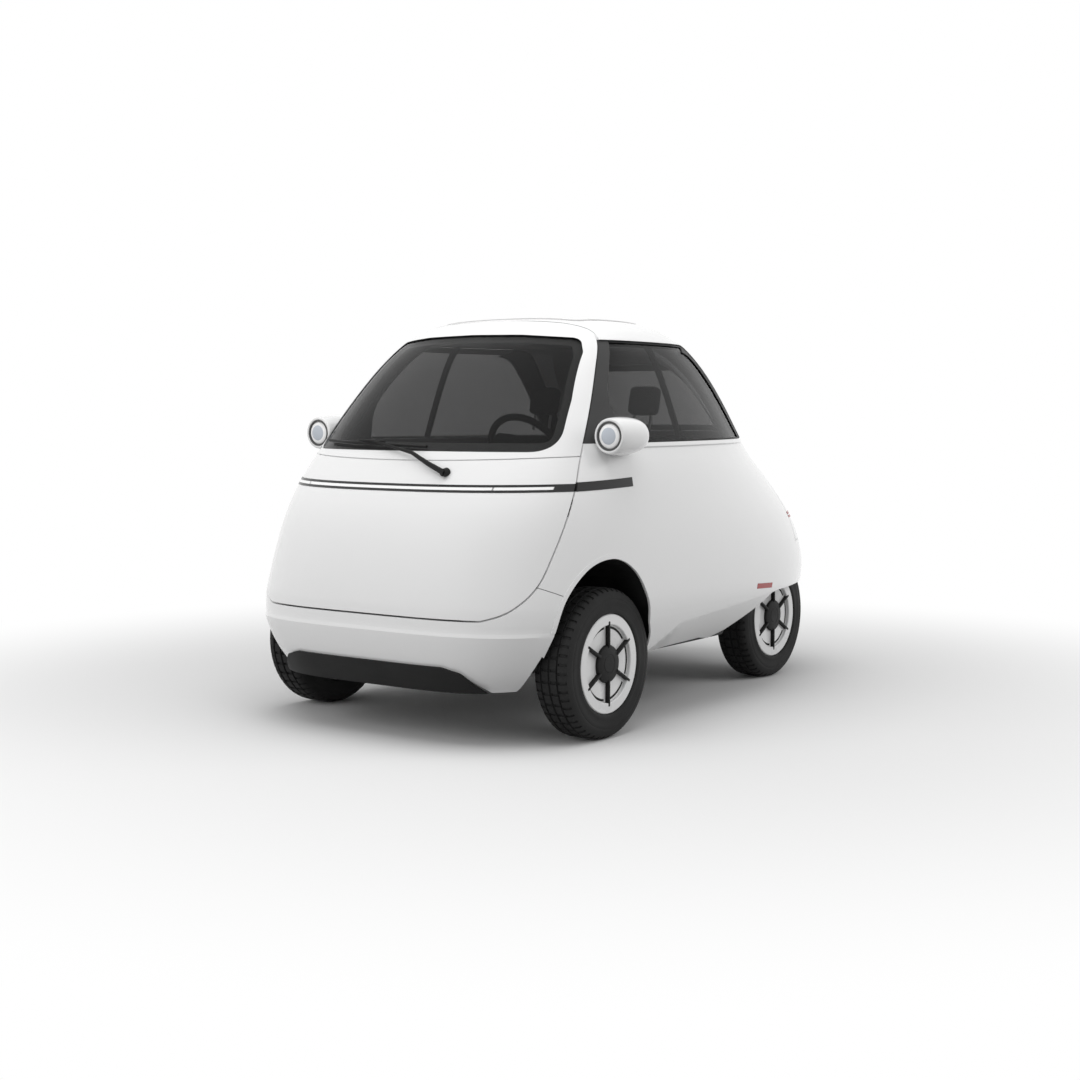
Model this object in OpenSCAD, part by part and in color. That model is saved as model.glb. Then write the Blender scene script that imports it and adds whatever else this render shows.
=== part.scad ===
// Two-seat microcar: egg-shaped body, one front door, four wheels.
// Frame: origin on the ground under the middle of the car, +X to its left, -Y forward, +Z up.

/* [Body] */
// Length over the bumpers
body_l = 2518; // [2300:1:3030]
// Width over the sides
body_w = 1474; // [1300:1:1770]
// Height of the roof above the ground
body_h = 1507; // [1400:1:1810]
// Thickness of the side walls and of the roof
wall_t = 45; // [30:1:60]
// Thickness of the front door
door_t = 45; // [30:1:60]
// Thickness of the bumpers
bumper_t = 30; // [20:1:45]
// Thickness of the outer skin round the front wheel arches
arch_skin_t = 7; // [4:1:12]
// Thickness of the window glass
glass_t = 5; // [3:0.5:8]
// Depth of the window glass below the outer surface
glass_inset = 4; // [1:1:12]
// Open gap between moving and fixed panels
panel_gap = 6; // [5:0.5:10]
// Gap above the tailgate hinge
lid_gap = 12; // [8:1:16]
// Clearance between pieces fixed to one another
fit = 0.3; // [0.2:0.1:0.5]

/* [Wheels] */
// Distance between the axles
wheelbase = 1567; // [1450:1:1880]
// Distance from the nose to the front axle
front_overhang = 510; // [450:1:560]
// Distance between the front wheels' middle planes
front_track = 1272; // [1200:1:1330]
// Distance between the rear wheels' middle planes
rear_track = 890; // [760:1:900]
// Outer diameter of the tyres
tyre_d = 533; // [450:1:580]
// Width of the tyres
tyre_w = 150; // [120:1:175]
// Diameter of the rim where the tyre seats
rim_d = 352; // [290:1:380]
// Diameter of the stub axles
stub_d = 40; // [30:1:50]
// Distance from the kingpin to the front wheel's middle plane
kingpin_offset = 36; // [25:1:50]
// Diameter of the kingpins
kingpin_d = 24; // [16:1:30]
// Height of the knuckle between its two eyes
knuckle_h = 140; // [110:1:170]
// Radial running clearance of every shaft in its bore
running_fit = 0.05; // [0.02:0.01:0.1]

/* [Openings] */
// Height of the windscreen's lower edge
screen_low = 1006; // [960:1:1060]
// Height of the windscreen's upper edge
screen_top = 1422; // [1380:1:1440]
// Half width of the windscreen's lower edge
screen_half_low = 566; // [500:1:590]
// Half width of the windscreen's upper edge
screen_half_top = 430; // [380:1:440]
// Corner radius of the windscreen
screen_r = 56; // [30:1:70]
// Height of the side windows' lower edge
belt_z = 1034; // [1000:1:1080]
// Height of the side windows' upper edge
rail_z = 1408; // [1370:1:1420]
// Height of the front wheel arch above the ground
arch_top = 635; // [600:1:680]
// Half length of the front wheel arch
arch_half = 281; // [260:1:300]
// Distance of the arch's middle ahead of the front axle
arch_lead = 7; // [0:1:12]
// Diameter of the two plate screw holes
plate_hole_d = 6; // [4:0.5:8]
// Distance between the two plate screw holes
plate_hole_gap = 180; // [120:1:240]

/* [Lamps and trim] */
// Height of the front light bar's lower edge at the nose
bar_z = 867; // [840:1:900]
// Height of the front light bar
bar_h = 26; // [18:1:40]
// Depth of the light bars and of the trim strips
bar_depth = 8; // [5:1:12]
// Largest diameter of the lamp and mirror pods
pod_d = 134; // [110:1:160]
// Length of the lamp and mirror pods
pod_l = 182; // [150:1:220]
// Distance from the car's middle to the pods' axes
pod_x = 692; // [670:1:720]
// Height of the pods' axes
pod_z = 1061; // [1040:1:1085]

/* [Cabin] */
// Width of the seat cushion
seat_w = 1000; // [800:1:1060]
// Length of the seat cushion
seat_l = 415; // [380:1:440]
// Thickness of the seat cushion
cushion_t = 135; // [90:1:160]
// Thickness of the seat back
back_t = 105; // [80:1:130]
// Height of the seat back above the cushion's top
back_h = 560; // [460:1:600]
// Recline of the seat back
recline = 13; // [5:1:20]
// Distance from the car's middle to each headrest and to the steering wheel
seat_x = 250; // [200:1:270]
// Outer diameter of the steering wheel
steering_d = 340; // [300:1:370]
// Thickness of the steering wheel's rim
steering_rim = 26; // [18:1:32]
// Height of the battery box
battery_h = 104; // [80:1:140]
// Thickness of the floor
floor_t = 25; // [15:1:40]

/* [Hidden] */
$fn = 48;

// The body is lofted through level stations, drawn for these overall sizes and scaled to the real ones.
drawn_l = 2518;
drawn_w = 1478;
drawn_h = 1507;
drawn_mid = 1261.6;
// Each station: height, nose, tail, half width, place of the widest point, fullness of nose, of tail.
STATIONS = [
  [ 190,   45, 2440, 625,  885, 4.2, 3.0],
  [ 260,   10, 2482, 680,  880, 4.1, 3.1],
  [ 400,   -4, 2520, 740,  865, 3.9, 3.12],
  [ 550,   22, 2524, 741,  840, 3.5, 3.08],
  [ 700,   64, 2488, 727,  800, 3.3, 2.8],
  [ 820,  116, 2398, 709,  765, 3.15, 2.5],
  [ 930,  192, 2275, 689,  765, 2.95, 2.35],
  [1000,  242, 2186, 668,  785, 2.85, 2.3],
  [1150,  356, 2045, 616,  830, 2.75, 2.4],
  [1300,  490, 1880, 556,  895, 2.7, 2.5],
  [1400,  597, 1720, 506,  965, 2.65, 2.5],
  [1465,  686, 1562, 441, 1030, 2.6, 2.5],
  [1500,  792, 1402, 330, 1085, 2.5, 2.5],
  [1511, 1110, 1110,   0, 1110, 2.4, 2.4]
];
TOP = STATIONS[len(STATIONS) - 2];
// One station past each end keeps the loft smooth at the sill and closes it over the roof.
LOFT = concat(
  [2 * STATIONS[0] - STATIONS[1]],
  STATIONS,
  [[TOP[0], TOP[2], TOP[1], -TOP[3], TOP[4], TOP[5], TOP[6]]]
);
around = 60;
steps = 2;

kx = body_w / drawn_w;
ky = body_l / drawn_l;
kz = body_h / drawn_h;
axle_z = tyre_d / 2;
front_y = front_overhang - body_l / 2;
rear_y = front_y + wheelbase;
kingpin_x = front_track / 2 - kingpin_offset;

// Places on the body, from drawn sizes (x from the middle, y from the nose, z from the ground).
function X(x) = x * kx;
function Y(y) = (y - drawn_mid) * ky;
function Z(z) = z * kz;
function yz(points) = [for (p = points) [Y(p[0]), Z(p[1])]];

function basis(t) = [
  pow(1 - t, 3) / 6,
  (3 * pow(t, 3) - 6 * t * t + 4) / 6,
  (-3 * pow(t, 3) + 3 * t * t + 3 * t + 1) / 6,
  pow(t, 3) / 6
];
function level(i, t) =
  let (b = basis(t))
  b[0] * LOFT[i] + b[1] * LOFT[i + 1] + b[2] * LOFT[i + 2] + b[3] * LOFT[i + 3];
function ring_point(s, a, inset) =
  let (c = cos(a), n = c > 0 ? s[5] : s[6])
  let (r = pow(pow(abs(c), n) + pow(abs(sin(a)), n), -1 / n))
  let (half = max(X(s[3]) - inset, 0.5), nose = Y(s[1]) + inset, tail = Y(s[2]) - inset, mid = Y(s[4]))
  [half * r * sin(a), c > 0 ? mid + min(nose - mid, -0.5) * r * c : mid - max(tail - mid, 0.5) * r * c];
// The inset surface drops by the inset at the roof and not at all at the sill.
function drop(z, inset) = inset * min(1, max(0, (z - STATIONS[4][0]) / (STATIONS[8][0] - STATIONS[4][0])));

module body_solid(inset = 0) {
  spans = len(STATIONS) - 1;
  levels = concat([for (i = [0 : spans - 1], k = [0 : steps - 1]) level(i, k / steps)], [level(spans - 1, 0.9)]);
  base_z = Z(STATIONS[0][0]) - (inset > 0 ? 60 : 0);
  rings = [for (j = [0 : len(levels) - 1])
    let (s = levels[j], z = j == 0 ? base_z : Z(s[0]) - drop(s[0], inset))
    [for (k = [0 : around - 1]) let (p = ring_point(s, 360 * k / around, inset)) [p[0], p[1], z]]];
  count = len(levels);
  top_z = Z(level(spans - 1, 1)[0]) - inset;
  points = concat(
    [for (ring = rings, p = ring) p],
    [[0, Y(STATIONS[0][4]), base_z], [0, Y(STATIONS[spans][1]), top_z]]
  );
  polyhedron(points, concat(
    [for (j = [0 : count - 2], k = [0 : around - 1], half = [0, 1])
      let (a = j * around + k, b = j * around + (k + 1) % around)
      half == 0 ? [a, b + around, b] : [a, a + around, b + around]],
    [for (k = [0 : around - 1]) [count * around, k, (k + 1) % around]],
    [for (k = [0 : around - 1])
      [(count - 1) * around + (k + 1) % around, (count - 1) * around + k, count * around + 1]]
  ));
}

// A keeps-its-size resize makes a curved panel one closed mesh.
module as_mesh() { resize([0, 0, 0]) render() children(); }
module skin(outer, inner) {
  difference() {
    body_solid(outer);
    body_solid(inner);
  }
}
// Extrudes an outline drawn in the side view, right across the car or from x0 to x1.
module across(x0 = -2000, x1 = 2000) {
  translate([x0, 0, 0]) rotate([90, 0, 90]) linear_extrude(x1 - x0) children();
}
// Extrudes an outline drawn in the front view, from y0 to y1.
module along(y0, y1) { translate([0, y1, 0]) rotate([90, 0, 0]) linear_extrude(y1 - y0) children(); }
module rounded(r) { offset(r = r) offset(delta = -r) children(); }
module both_sides() { for (side = [0, 1]) mirror([side, 0, 0]) children(); }

function curve(p, n = 4) = concat(
  [for (i = [0 : len(p) - 2], k = [0 : n - 1])
    let (t = k / n, a = p[max(i - 1, 0)], b = p[i], c = p[i + 1], d = p[min(i + 2, len(p) - 1)])
    0.5 * (2 * b + (c - a) * t + (2 * a - 5 * b + 4 * c - d) * t * t + (3 * b - a - 3 * c + d) * t * t * t)],
  [p[len(p) - 1]]);

// ---- outlines in the side view ----
DOOR_SEAM = curve([[60, 448], [118, 484], [197, 562], [271, 680], [388, 872], [452, 976], [563, 1127],
  [690, 1294], [785, 1402], [812, 1440], [800, 1466], [768, 1483]], 3);
REAR_WINDOW_EDGE = curve([[1862, belt_z], [1800, 1105], [1715, 1205], [1625, 1300], [1520, 1385],
  [1440, rail_z]], 3);
TAILGATE_SEAM = curve([[2085, 600], [2085, 705], [2050, 830], [1990, 940], [1930, 1034], [1868, 1115],
  [1785, 1215], [1695, 1312], [1590, 1398], [1500, 1440]], 3);
module door_zone(grow = 0) {
  offset(delta = grow) polygon(concat(yz([[-200, 448]]), yz(DOOR_SEAM), yz([[766, 1700], [-200, 1700]])));
}
module tailgate_zone(grow = 0) {
  offset(delta = grow) polygon(concat(
    yz([[2800, 600]]), yz(TAILGATE_SEAM), yz([[1465, 1460], [1462, 1700], [2800, 1700]])));
}
module rear_bumper_zone(grow = 0) {
  offset(delta = grow) polygon(yz([[2085, 416], [2085, 600 - panel_gap], [2800, 600 - panel_gap], [2800, 416]]));
}
module front_bumper_zone(grow = 0) {
  offset(delta = grow) polygon(yz([[-200, 480], [80, 480], [120, 512], [176, 568], [194, 556], [330, 500],
    [330, 100], [-200, 100]]));
}
module sill_zone() {
  polygon(yz([[700, -50], [735, 268], [1225, 275], [1320, 262], [1425, 285], [1600, 352], [1722, 410],
    [1800, 416], [2800, 416], [2800, -50]]));
}
// The arch's edge in shares of its half length and of its height over the axle.
ARCH_SHAPE = curve([[1, 0], [0.957, 0.186], [0.893, 0.286], [0.838, 0.362], [0.754, 0.579], [0.477, 0.859], [0.071, 1],
  [-0.395, 0.932], [-0.79, 0.653], [-0.965, 0.286], [-1, 0]], 3);
module arch_zone(grow = 0) {
  tall = arch_top - axle_z;
  offset(delta = grow) translate([front_y - arch_lead, axle_z]) polygon(concat(
    [for (p = ARCH_SHAPE) [arch_half * p[0], tall * p[1]]],
    [[-arch_half, -400], [arch_half, -400]]));
}
module side_opening(grow = 0) {
  offset(delta = grow) polygon(concat(
    yz([[440, belt_z], [1862, belt_z]]), yz(REAR_WINDOW_EDGE), yz([[1300, rail_z], [600, rail_z]])));
}
// What fills the opening stops at the gap behind the door.
module side_pane() {
  difference() {
    side_opening(-fit);
    door_zone(panel_gap);
  }
}
// The dark panel ahead of the side glass, whose rear edge bows forward round the pod.
QUARTER_EDGE = curve([[735, belt_z - 20], [712, 1080], [690, 1130], [688, 1200], [765, 1310], [860, rail_z + 20]], 3);
module quarter_zone(grow = 0) {
  offset(delta = grow) polygon(concat(yz([[300, 1500], [300, belt_z - 20]]), yz(QUARTER_EDGE), yz([[860, 1500]])));
}

// ---- outlines in the front view ----
module screen_outline(grow = 0) {
  offset(delta = grow) rounded(screen_r) polygon([
    [X(-screen_half_low), Z(screen_low)], [X(screen_half_low), Z(screen_low)],
    [X(515), Z(1186)], [X(screen_half_top), Z(screen_top)],
    [X(-screen_half_top), Z(screen_top)], [X(-515), Z(1186)]]);
}
// A band that rises towards the sides, as the light bar does.
module bar_outline(low, tall, half, grow = 0) {
  offset(delta = grow) polygon(concat(
    [for (x = [-half : half / 12 : half]) [X(x), Z(low + 5 * pow(x / 600, 2))]],
    [for (x = [half : -half / 12 : -half]) [X(x), Z(low + tall + 5 * pow(x / 600, 2))]]));
}
module grille_outline(grow = 0) {
  offset(delta = grow) polygon([[X(-446), Z(212)], [X(-400), Z(262)], [X(-336), Z(281)], [X(336), Z(281)],
    [X(400), Z(262)], [X(446), Z(212)]]);
}
module rear_screen_outline(grow = 0) {
  offset(delta = grow) rounded(50) polygon([
    [X(-395), Z(1060)], [X(395), Z(1060)], [X(300), Z(1345)], [X(-300), Z(1345)]]);
}

// Everything the steered or turning wheel needs: the arch and a circle round the tyre.
well_gap = 28;
module well_zone(grow = 0) {
  arch_zone(grow);
  translate([front_y, axle_z]) circle(r = tyre_d / 2 + well_gap + grow);
}
well_x = X(400);
liner_t = 4;
liner_air = 2;

// ---- hinges ----
hinge_air = 6;
door_hinge = [X(652), Y(402)];
door_hinge_z = [Z(716), Z(816)];
neck_l = 158;
neck_turn = 150;
neck_w = 14;
neck_h = 12;
pin_d = 16;
barrel_d = 30;
barrel_h = 34;
ear_t = 8;
ear_d = 26;
lid_hinge = [Y(1470), Z(1479)];
lid_hinge_x = X(80);
lid_pin_d = 8;
lid_barrel_d = 18;
lid_barrel_l = 30;
lid_ear_t = 6;

// A swan neck: inward and back from the barrel, then forward to the door's inside.
module door_neck(grow = 0) {
  w = neck_w / 2 + grow;
  h = neck_h + 2 * grow;
  out = [cos(neck_turn), sin(neck_turn)];
  start = (barrel_d / 2 - 2) * out;
  bend = neck_l * out;
  tip = [-neck_l, Y(198) - Y(402) - grow];
  run = (tip - bend) / norm(tip - bend);
  side_a = [-out[1], out[0]];
  side_b = [-run[1], run[0]];
  mitre = (side_a + side_b) / (1 + side_a * side_b);
  for (z = door_hinge_z) translate([door_hinge[0], door_hinge[1], z - h / 2]) linear_extrude(h) polygon([
    start + w * side_a, bend + w * mitre, tip + w * side_b, tip - w * side_b, bend - w * mitre, start - w * side_a]);
}
module door_ears(grow = 0) {
  for (z = door_hinge_z, side = [-1, 1])
    translate([door_hinge[0], door_hinge[1], z + side * (barrel_h / 2 + fit + ear_t / 2)]) {
      cylinder(d = ear_d + 2 * grow, h = ear_t + 2 * grow, center = true);
      translate([-ear_d / 2 - grow, 0, -ear_t / 2 - grow]) cube([ear_d + 2 * grow, 60 + grow, ear_t + 2 * grow]);
    }
}
module door_hinge_pocket() {
  h = barrel_h + 2 * (fit + ear_t + hinge_air);
  for (z = door_hinge_z) translate([door_hinge[0], door_hinge[1], z - h / 2]) {
    r = barrel_d / 2 + hinge_air;
    cylinder(r = r, h = h);
    translate([-90, -60, 0]) cube([90, 60 + r, h]);
    rotate([0, 0, neck_turn]) translate([0, -r, 0]) cube([neck_l, 2 * r, h]);
  }
}
// Tailgate straps run back and down inside the lid, at the slope of the rear.
lid_slope = -20;
module lid_straps(grow = 0) {
  for (x = [-lid_hinge_x, lid_hinge_x]) translate([x, lid_hinge[0], lid_hinge[1]]) rotate([lid_slope, 0, 0])
    translate([2 - lid_barrel_l / 2 - grow, 0, -5 - grow]) cube([lid_barrel_l - 4 + 2 * grow, 110 + grow, 8 + 2 * grow]);
}
module lid_ears(grow = 0) {
  for (x = [-lid_hinge_x, lid_hinge_x], side = [-1, 1])
    translate([x + side * (lid_barrel_l / 2 + fit + lid_ear_t / 2), lid_hinge[0], lid_hinge[1]]) {
      rotate([0, 90, 0]) cylinder(d = lid_barrel_d + 2 * grow, h = lid_ear_t + 2 * grow, center = true);
      translate([-lid_ear_t / 2 - grow, -60 - grow, -lid_barrel_d / 2 - grow])
        cube([lid_ear_t + 2 * grow, 60 + grow, lid_barrel_d + 2 * grow]);
    }
}
module lid_barrels(grow = 0, longer = 0) {
  for (x = [-lid_hinge_x, lid_hinge_x]) translate([x, lid_hinge[0], lid_hinge[1]])
    rotate([0, 90, 0]) cylinder(d = lid_barrel_d + 2 * grow, h = lid_barrel_l + longer + 2 * grow, center = true);
}

// ---- the front door and what it carries ----
module bar_groove(low, tall, half, y0, y1) {
  intersection() {
    skin(-30, bar_depth);
    along(y0, y1) bar_outline(low, tall, half, fit);
  }
}
module front_door() {
  color("white") as_mesh() difference() {
    intersection() {
      skin(0, door_t);
      across() door_zone();
    }
    along(-2000, Y(1000)) screen_outline();
    bar_groove(bar_z, bar_h, 720, -2000, Y(500));
    door_neck(fit);
    wiper_foot(fit);
  }
}
module windscreen() {
  color([0.2, 0.22, 0.24, 0.5]) as_mesh() intersection() {
    skin(glass_inset, glass_inset + glass_t);
    along(-2000, Y(1000)) screen_outline(-fit);
  }
}
module light_bar() {
  color("dimgray") as_mesh() intersection() {
    skin(-2, bar_depth - fit);
    along(-2000, Y(500)) bar_outline(bar_z, bar_h, 720);
    across() door_zone(-1);
  }
}
module door_dash() {
  color("dimgray") as_mesh() intersection() {
    body_solid(door_t + fit);
    translate([-X(450), -body_l / 2, Z(975)]) cube([X(900), Y(395) + body_l / 2, Z(1030) - Z(975)]);
  }
}
module door_hinge_arms() {
  color("silver") {
    door_neck();
    for (z = door_hinge_z) translate([door_hinge[0], door_hinge[1], z - barrel_h / 2]) difference() {
      cylinder(d = barrel_d, h = barrel_h);
      translate([0, 0, -1]) cylinder(d = pin_d + 2 * running_fit, h = barrel_h + 2);
    }
  }
}

// Height-to-station search, for seating small pieces on the nose.
function station_at(z, lo = 0, hi = len(STATIONS) - 1, n = 22) =
  let (m = (lo + hi) / 2)
  n == 0 ? m : level(floor(m), m - floor(m))[0] < z ? station_at(z, m, hi, n - 1) : station_at(z, lo, m, n - 1);
function nose_y(x, z) =
  let (m = station_at(z), s = level(floor(m), m - floor(m)))
  s[4] - (s[4] - s[1]) * pow(1 - pow(abs(x) / s[3], s[5]), 1 / s[5]);
// A point in front of the nose's surface by the given stand-off.
function on_nose(x, z, off) = [X(x), Y(nose_y(x, z)) - off, Z(z)];
module rod(a, b, d) {
  hull() {
    translate(a) sphere(d = d, $fn = 8);
    translate(b) sphere(d = d, $fn = 8);
  }
}
module wiper_foot(grow = 0) {
  translate(on_nose(230, 935, 24)) rotate([-90, 0, 0]) cylinder(r = 17 + grow, h = 27 + grow, $fn = 24);
}
module wiper() {
  blade = [for (k = [0 : 4]) on_nose(100 - k * 136, 1024 + 3.5 * k, 12)];
  color("black") as_mesh() {
    wiper_foot();
    rod(on_nose(230, 935, 22), on_nose(60, 1000, 26), 12);
    rod(on_nose(60, 1000, 26), on_nose(-172, 1040, 22), 10);
    rod(on_nose(-172, 1040, 22), on_nose(-172, 1031, 12), 9);
    for (k = [0 : 3]) rod(blade[k], blade[k + 1], 12);
  }
}

// ---- fixed panels ----
module wheel_pocket() {
  intersection() {
    body_solid(arch_skin_t);
    across() well_zone(liner_t + fit);
  }
}
module strip_zone(grow = 0) {
  difference() {
    offset(delta = grow) polygon(yz([[360, 871], [677, 882], [679, 914], [360, 901]]));
    door_zone(panel_gap + 1 - grow);
  }
}
marker_yz = [[1552, 441], [1702, 432], [1706, 452], [1556, 461]];
module side_panel(left) {
  color("white") as_mesh() difference() {
    intersection() {
      skin(0, wall_t);
      translate([left ? 0 : -2000, -2000, 0]) cube([2000, 4000, Z(rail_z)]);
    }
    across() door_zone(panel_gap);
    across() tailgate_zone(panel_gap);
    across() rear_bumper_zone(fit);
    across() front_bumper_zone(fit);
    across() side_opening();
    across() sill_zone();
    across() arch_zone();
    wheel_pocket();
    intersection() {
      skin(-30, bar_depth);
      union() {
        across() strip_zone(fit);
        across() offset(delta = fit) polygon(yz(marker_yz));
      }
    }
    door_ears(fit);
    door_hinge_pocket();
    pod_socket();
  }
}
module side_panel_left() { side_panel(true); }
module side_panel_right() { side_panel(false); }
module roof_hole(grow = 0) {
  translate([0, 0, Z(1380)]) linear_extrude(400) offset(r = 60 + grow) offset(delta = -60)
    polygon([[X(-330), Y(850)], [X(330), Y(850)], [X(310), Y(1330)], [X(-310), Y(1330)]]);
}
module roof_panel() {
  color("white") as_mesh() difference() {
    skin(0, wall_t);
    translate([-2000, -2000, -1000]) cube([4000, 4000, Z(rail_z) + fit + 1000]);
    across() door_zone(panel_gap);
    across() tailgate_zone(lid_gap);
    roof_hole();
    lid_ears(fit);
    lid_barrels(hinge_air);
  }
}
module sunroof() {
  color("gainsboro") as_mesh() intersection() {
    skin(-3, 12);
    roof_hole(-fit);
  }
}
module front_bumper() {
  color("white") as_mesh() difference() {
    intersection() {
      skin(0, bumper_t);
      across() front_bumper_zone();
    }
    across() door_zone(panel_gap);
    across() arch_zone();
    wheel_pocket();
    along(-2000, Y(200)) grille_outline();
  }
}
module grille() {
  color("black") as_mesh() intersection() {
    skin(8, 22);
    along(-2000, Y(200)) grille_outline(-fit);
  }
}
plate_w = 300;
plate_h = 110;
plate_y = [Y(2492), Y(2516)];
plate_z = Z(505);
module rear_bumper() {
  color("white") as_mesh() difference() {
    intersection() {
      skin(0, bumper_t);
      across() rear_bumper_zone();
    }
    intersection() {
      body_solid(arch_skin_t);
      both_sides() across(rear_well_x, 2000) translate([rear_y, axle_z]) circle(r = tyre_d / 2 + rear_air);
    }
    translate([-plate_w / 2 - fit, plate_y[0] - fit, plate_z - plate_h / 2 - fit])
      cube([plate_w + 2 * fit, 200, plate_h + 2 * fit]);
  }
}
module plate_holder() {
  color("lightgray") difference() {
    translate([-plate_w / 2, plate_y[0], plate_z - plate_h / 2])
      cube([plate_w, plate_y[1] - plate_y[0], plate_h]);
    for (side = [-1, 1]) translate([side * plate_hole_gap / 2, plate_y[0] - 1, plate_z])
      rotate([-90, 0, 0]) cylinder(d = plate_hole_d, h = plate_y[1] - plate_y[0] + 2);
  }
}

// ---- the tailgate and what it carries ----
module tailgate() {
  color("white") as_mesh() difference() {
    intersection() {
      skin(0, wall_t);
      across() tailgate_zone();
    }
    along(Y(1500), 3000) rear_screen_outline();
    bar_groove(688, 24, 700, Y(1600), 3000);
    lid_straps(fit);
    lid_barrels(hinge_air, 2 * (fit + lid_ear_t));
  }
}
module rear_window() {
  color([0.2, 0.22, 0.24, 0.5]) as_mesh() intersection() {
    skin(glass_inset, glass_inset + glass_t);
    along(Y(1500), 3000) rear_screen_outline(-fit);
  }
}
module rear_light_bar() {
  color("darkred") as_mesh() intersection() {
    skin(-2, bar_depth - fit);
    along(Y(1600), 3000) bar_outline(688, 24, 700);
    across() tailgate_zone(-1);
  }
}
module tailgate_hinge_arms() {
  color("silver") difference() {
    union() {
      lid_barrels();
      lid_straps();
    }
    translate([-lid_hinge_x - lid_barrel_l, lid_hinge[0], lid_hinge[1]]) rotate([0, 90, 0])
      cylinder(d = lid_pin_d + 2 * running_fit, h = 2 * (lid_hinge_x + lid_barrel_l));
  }
}
module hinge_pins() {
  color("silver") {
    door_ears();
    for (z = door_hinge_z) translate([door_hinge[0], door_hinge[1], z])
      cylinder(d = pin_d, h = barrel_h + 2 * fit + ear_t, center = true);
    lid_ears();
    for (x = [-lid_hinge_x, lid_hinge_x]) translate([x, lid_hinge[0], lid_hinge[1]])
      rotate([0, 90, 0]) cylinder(d = lid_pin_d, h = lid_barrel_l + 2 * fit + lid_ear_t, center = true);
  }
}

// ---- side glass, lamps and trim ----
module pod_socket() { pod_place() translate([0, 0, -20]) cylinder(d = pod_d + 2 * fit, h = pod_l + 21); }
module pod_place() { both_sides() translate([pod_x, Y(526), Z(pod_z)]) rotate([-90, 0, 0]) children(); }
module side_windows() {
  color([0.2, 0.22, 0.24, 0.5]) as_mesh() intersection() {
    skin(glass_inset, glass_inset + glass_t);
    across() difference() {
      side_pane();
      quarter_zone(fit);
    }
  }
}
module quarter_panels() {
  color("dimgray") as_mesh() difference() {
    intersection() {
      skin(2, wall_t);
      across() intersection() {
        side_pane();
        quarter_zone();
      }
    }
    pod_socket();
  }
}
lens_r = pod_d / 2 - 15;
mirror_r = pod_d / 2 - 24;
glass_seat = 6;
module lamp_pods() {
  r = pod_d / 2;
  color("white") pod_place() rotate_extrude() polygon(concat(
    [[0, glass_seat], [lens_r, glass_seat], [lens_r, 0], [r - 8, 0]],
    [for (a = [20 : 15 : 95]) [r - 8 + 8 * sin(a), 60 - 60 * cos(a)]],
    [for (a = [15 : 15 : 90]) [r - 20 + 20 * cos(a), 70 + (pod_l - 70) * sin(a)]],
    [[mirror_r, pod_l], [mirror_r, pod_l - glass_seat], [0, pod_l - glass_seat]]
  ));
}
module headlight_lenses() {
  color("white") pod_place() rotate_extrude() polygon(concat(
    [[0, glass_seat - fit], [lens_r - fit, glass_seat - fit]],
    [for (a = [0 : 15 : 90]) [(lens_r - fit) * cos(a), -6 * sin(a)]]));
}
module mirror_glasses() {
  color("silver") pod_place() translate([0, 0, pod_l - glass_seat + fit])
    cylinder(r = mirror_r - fit, h = glass_seat - 2 * fit);
}
module side_strips() {
  color("dimgray") as_mesh() intersection() {
    skin(-1, bar_depth - fit);
    across() strip_zone();
  }
}
module side_markers() {
  color("darkred") as_mesh() intersection() {
    skin(-1, bar_depth - fit);
    across() polygon(yz(marker_yz));
  }
}

// ---- underbody ----
floor_z = Z(262);
floor_top = floor_z + floor_t;
boot_z = Z(560);
rear_well_x = rear_track / 2 - tyre_w / 2 - 22;
rear_well_half = tyre_d / 2 + 30;
rear_air = 16;
module floor_line() {
  t = floor_t;
  polygon([
    [Y(64), Z(415)], [Y(200), Z(415)], [Y(318), floor_z], [Y(1450), floor_z], [Y(1450), boot_z],
    [Y(2480), boot_z], [Y(2480), boot_z + t], [Y(1450) - t, boot_z + t], [Y(1450) - t, floor_top],
    [Y(318) + t / 2, floor_top], [Y(200) + t / 2, Z(415) + t], [Y(64), Z(415) + t]
  ]);
}
module floor_pan() {
  color("dimgray") as_mesh() difference() {
    intersection() {
      body_solid(wall_t + fit);
      across() floor_line();
    }
    both_sides() across(well_x - fit, 2000) well_zone(liner_t + fit);
  }
}
module front_liners() {
  color("black") as_mesh() both_sides() intersection() {
    body_solid(arch_skin_t + liner_air);
    translate([0, -2000, floor_z]) cube([2000, 4000, 1000]);
    difference() {
      across(well_x, 2000) well_zone(liner_t);
      across(well_x + liner_t, 2001) well_zone();
      translate([0, front_y - 75, -1]) cube([2000, 150, axle_z + 130]);
    }
  }
}
module rear_liners() {
  h = boot_z - fit - Z(420);
  color("black") as_mesh() intersection() {
    body_solid(wall_t + fit);
    both_sides() translate([rear_well_x - liner_t, rear_y, Z(420)]) {
      translate([0, -rear_well_half - liner_t, 0]) cube([liner_t, 2 * rear_well_half + 2 * liner_t, h]);
      for (end = [-rear_well_half - liner_t, rear_well_half])
        translate([0, end, 0]) cube([tyre_w + 30, liner_t, h]);
    }
  }
}
module battery_box() {
  color("gray") translate([-X(450), Y(818), floor_top + fit]) cube([X(900), Y(1240) - Y(818), battery_h]);
}
module motor() {
  color("gray") translate([-140, rear_y - 95, axle_z + 35 + fit]) cube([280, 190, boot_z - axle_z - 35 - 2 * fit]);
}

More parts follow.
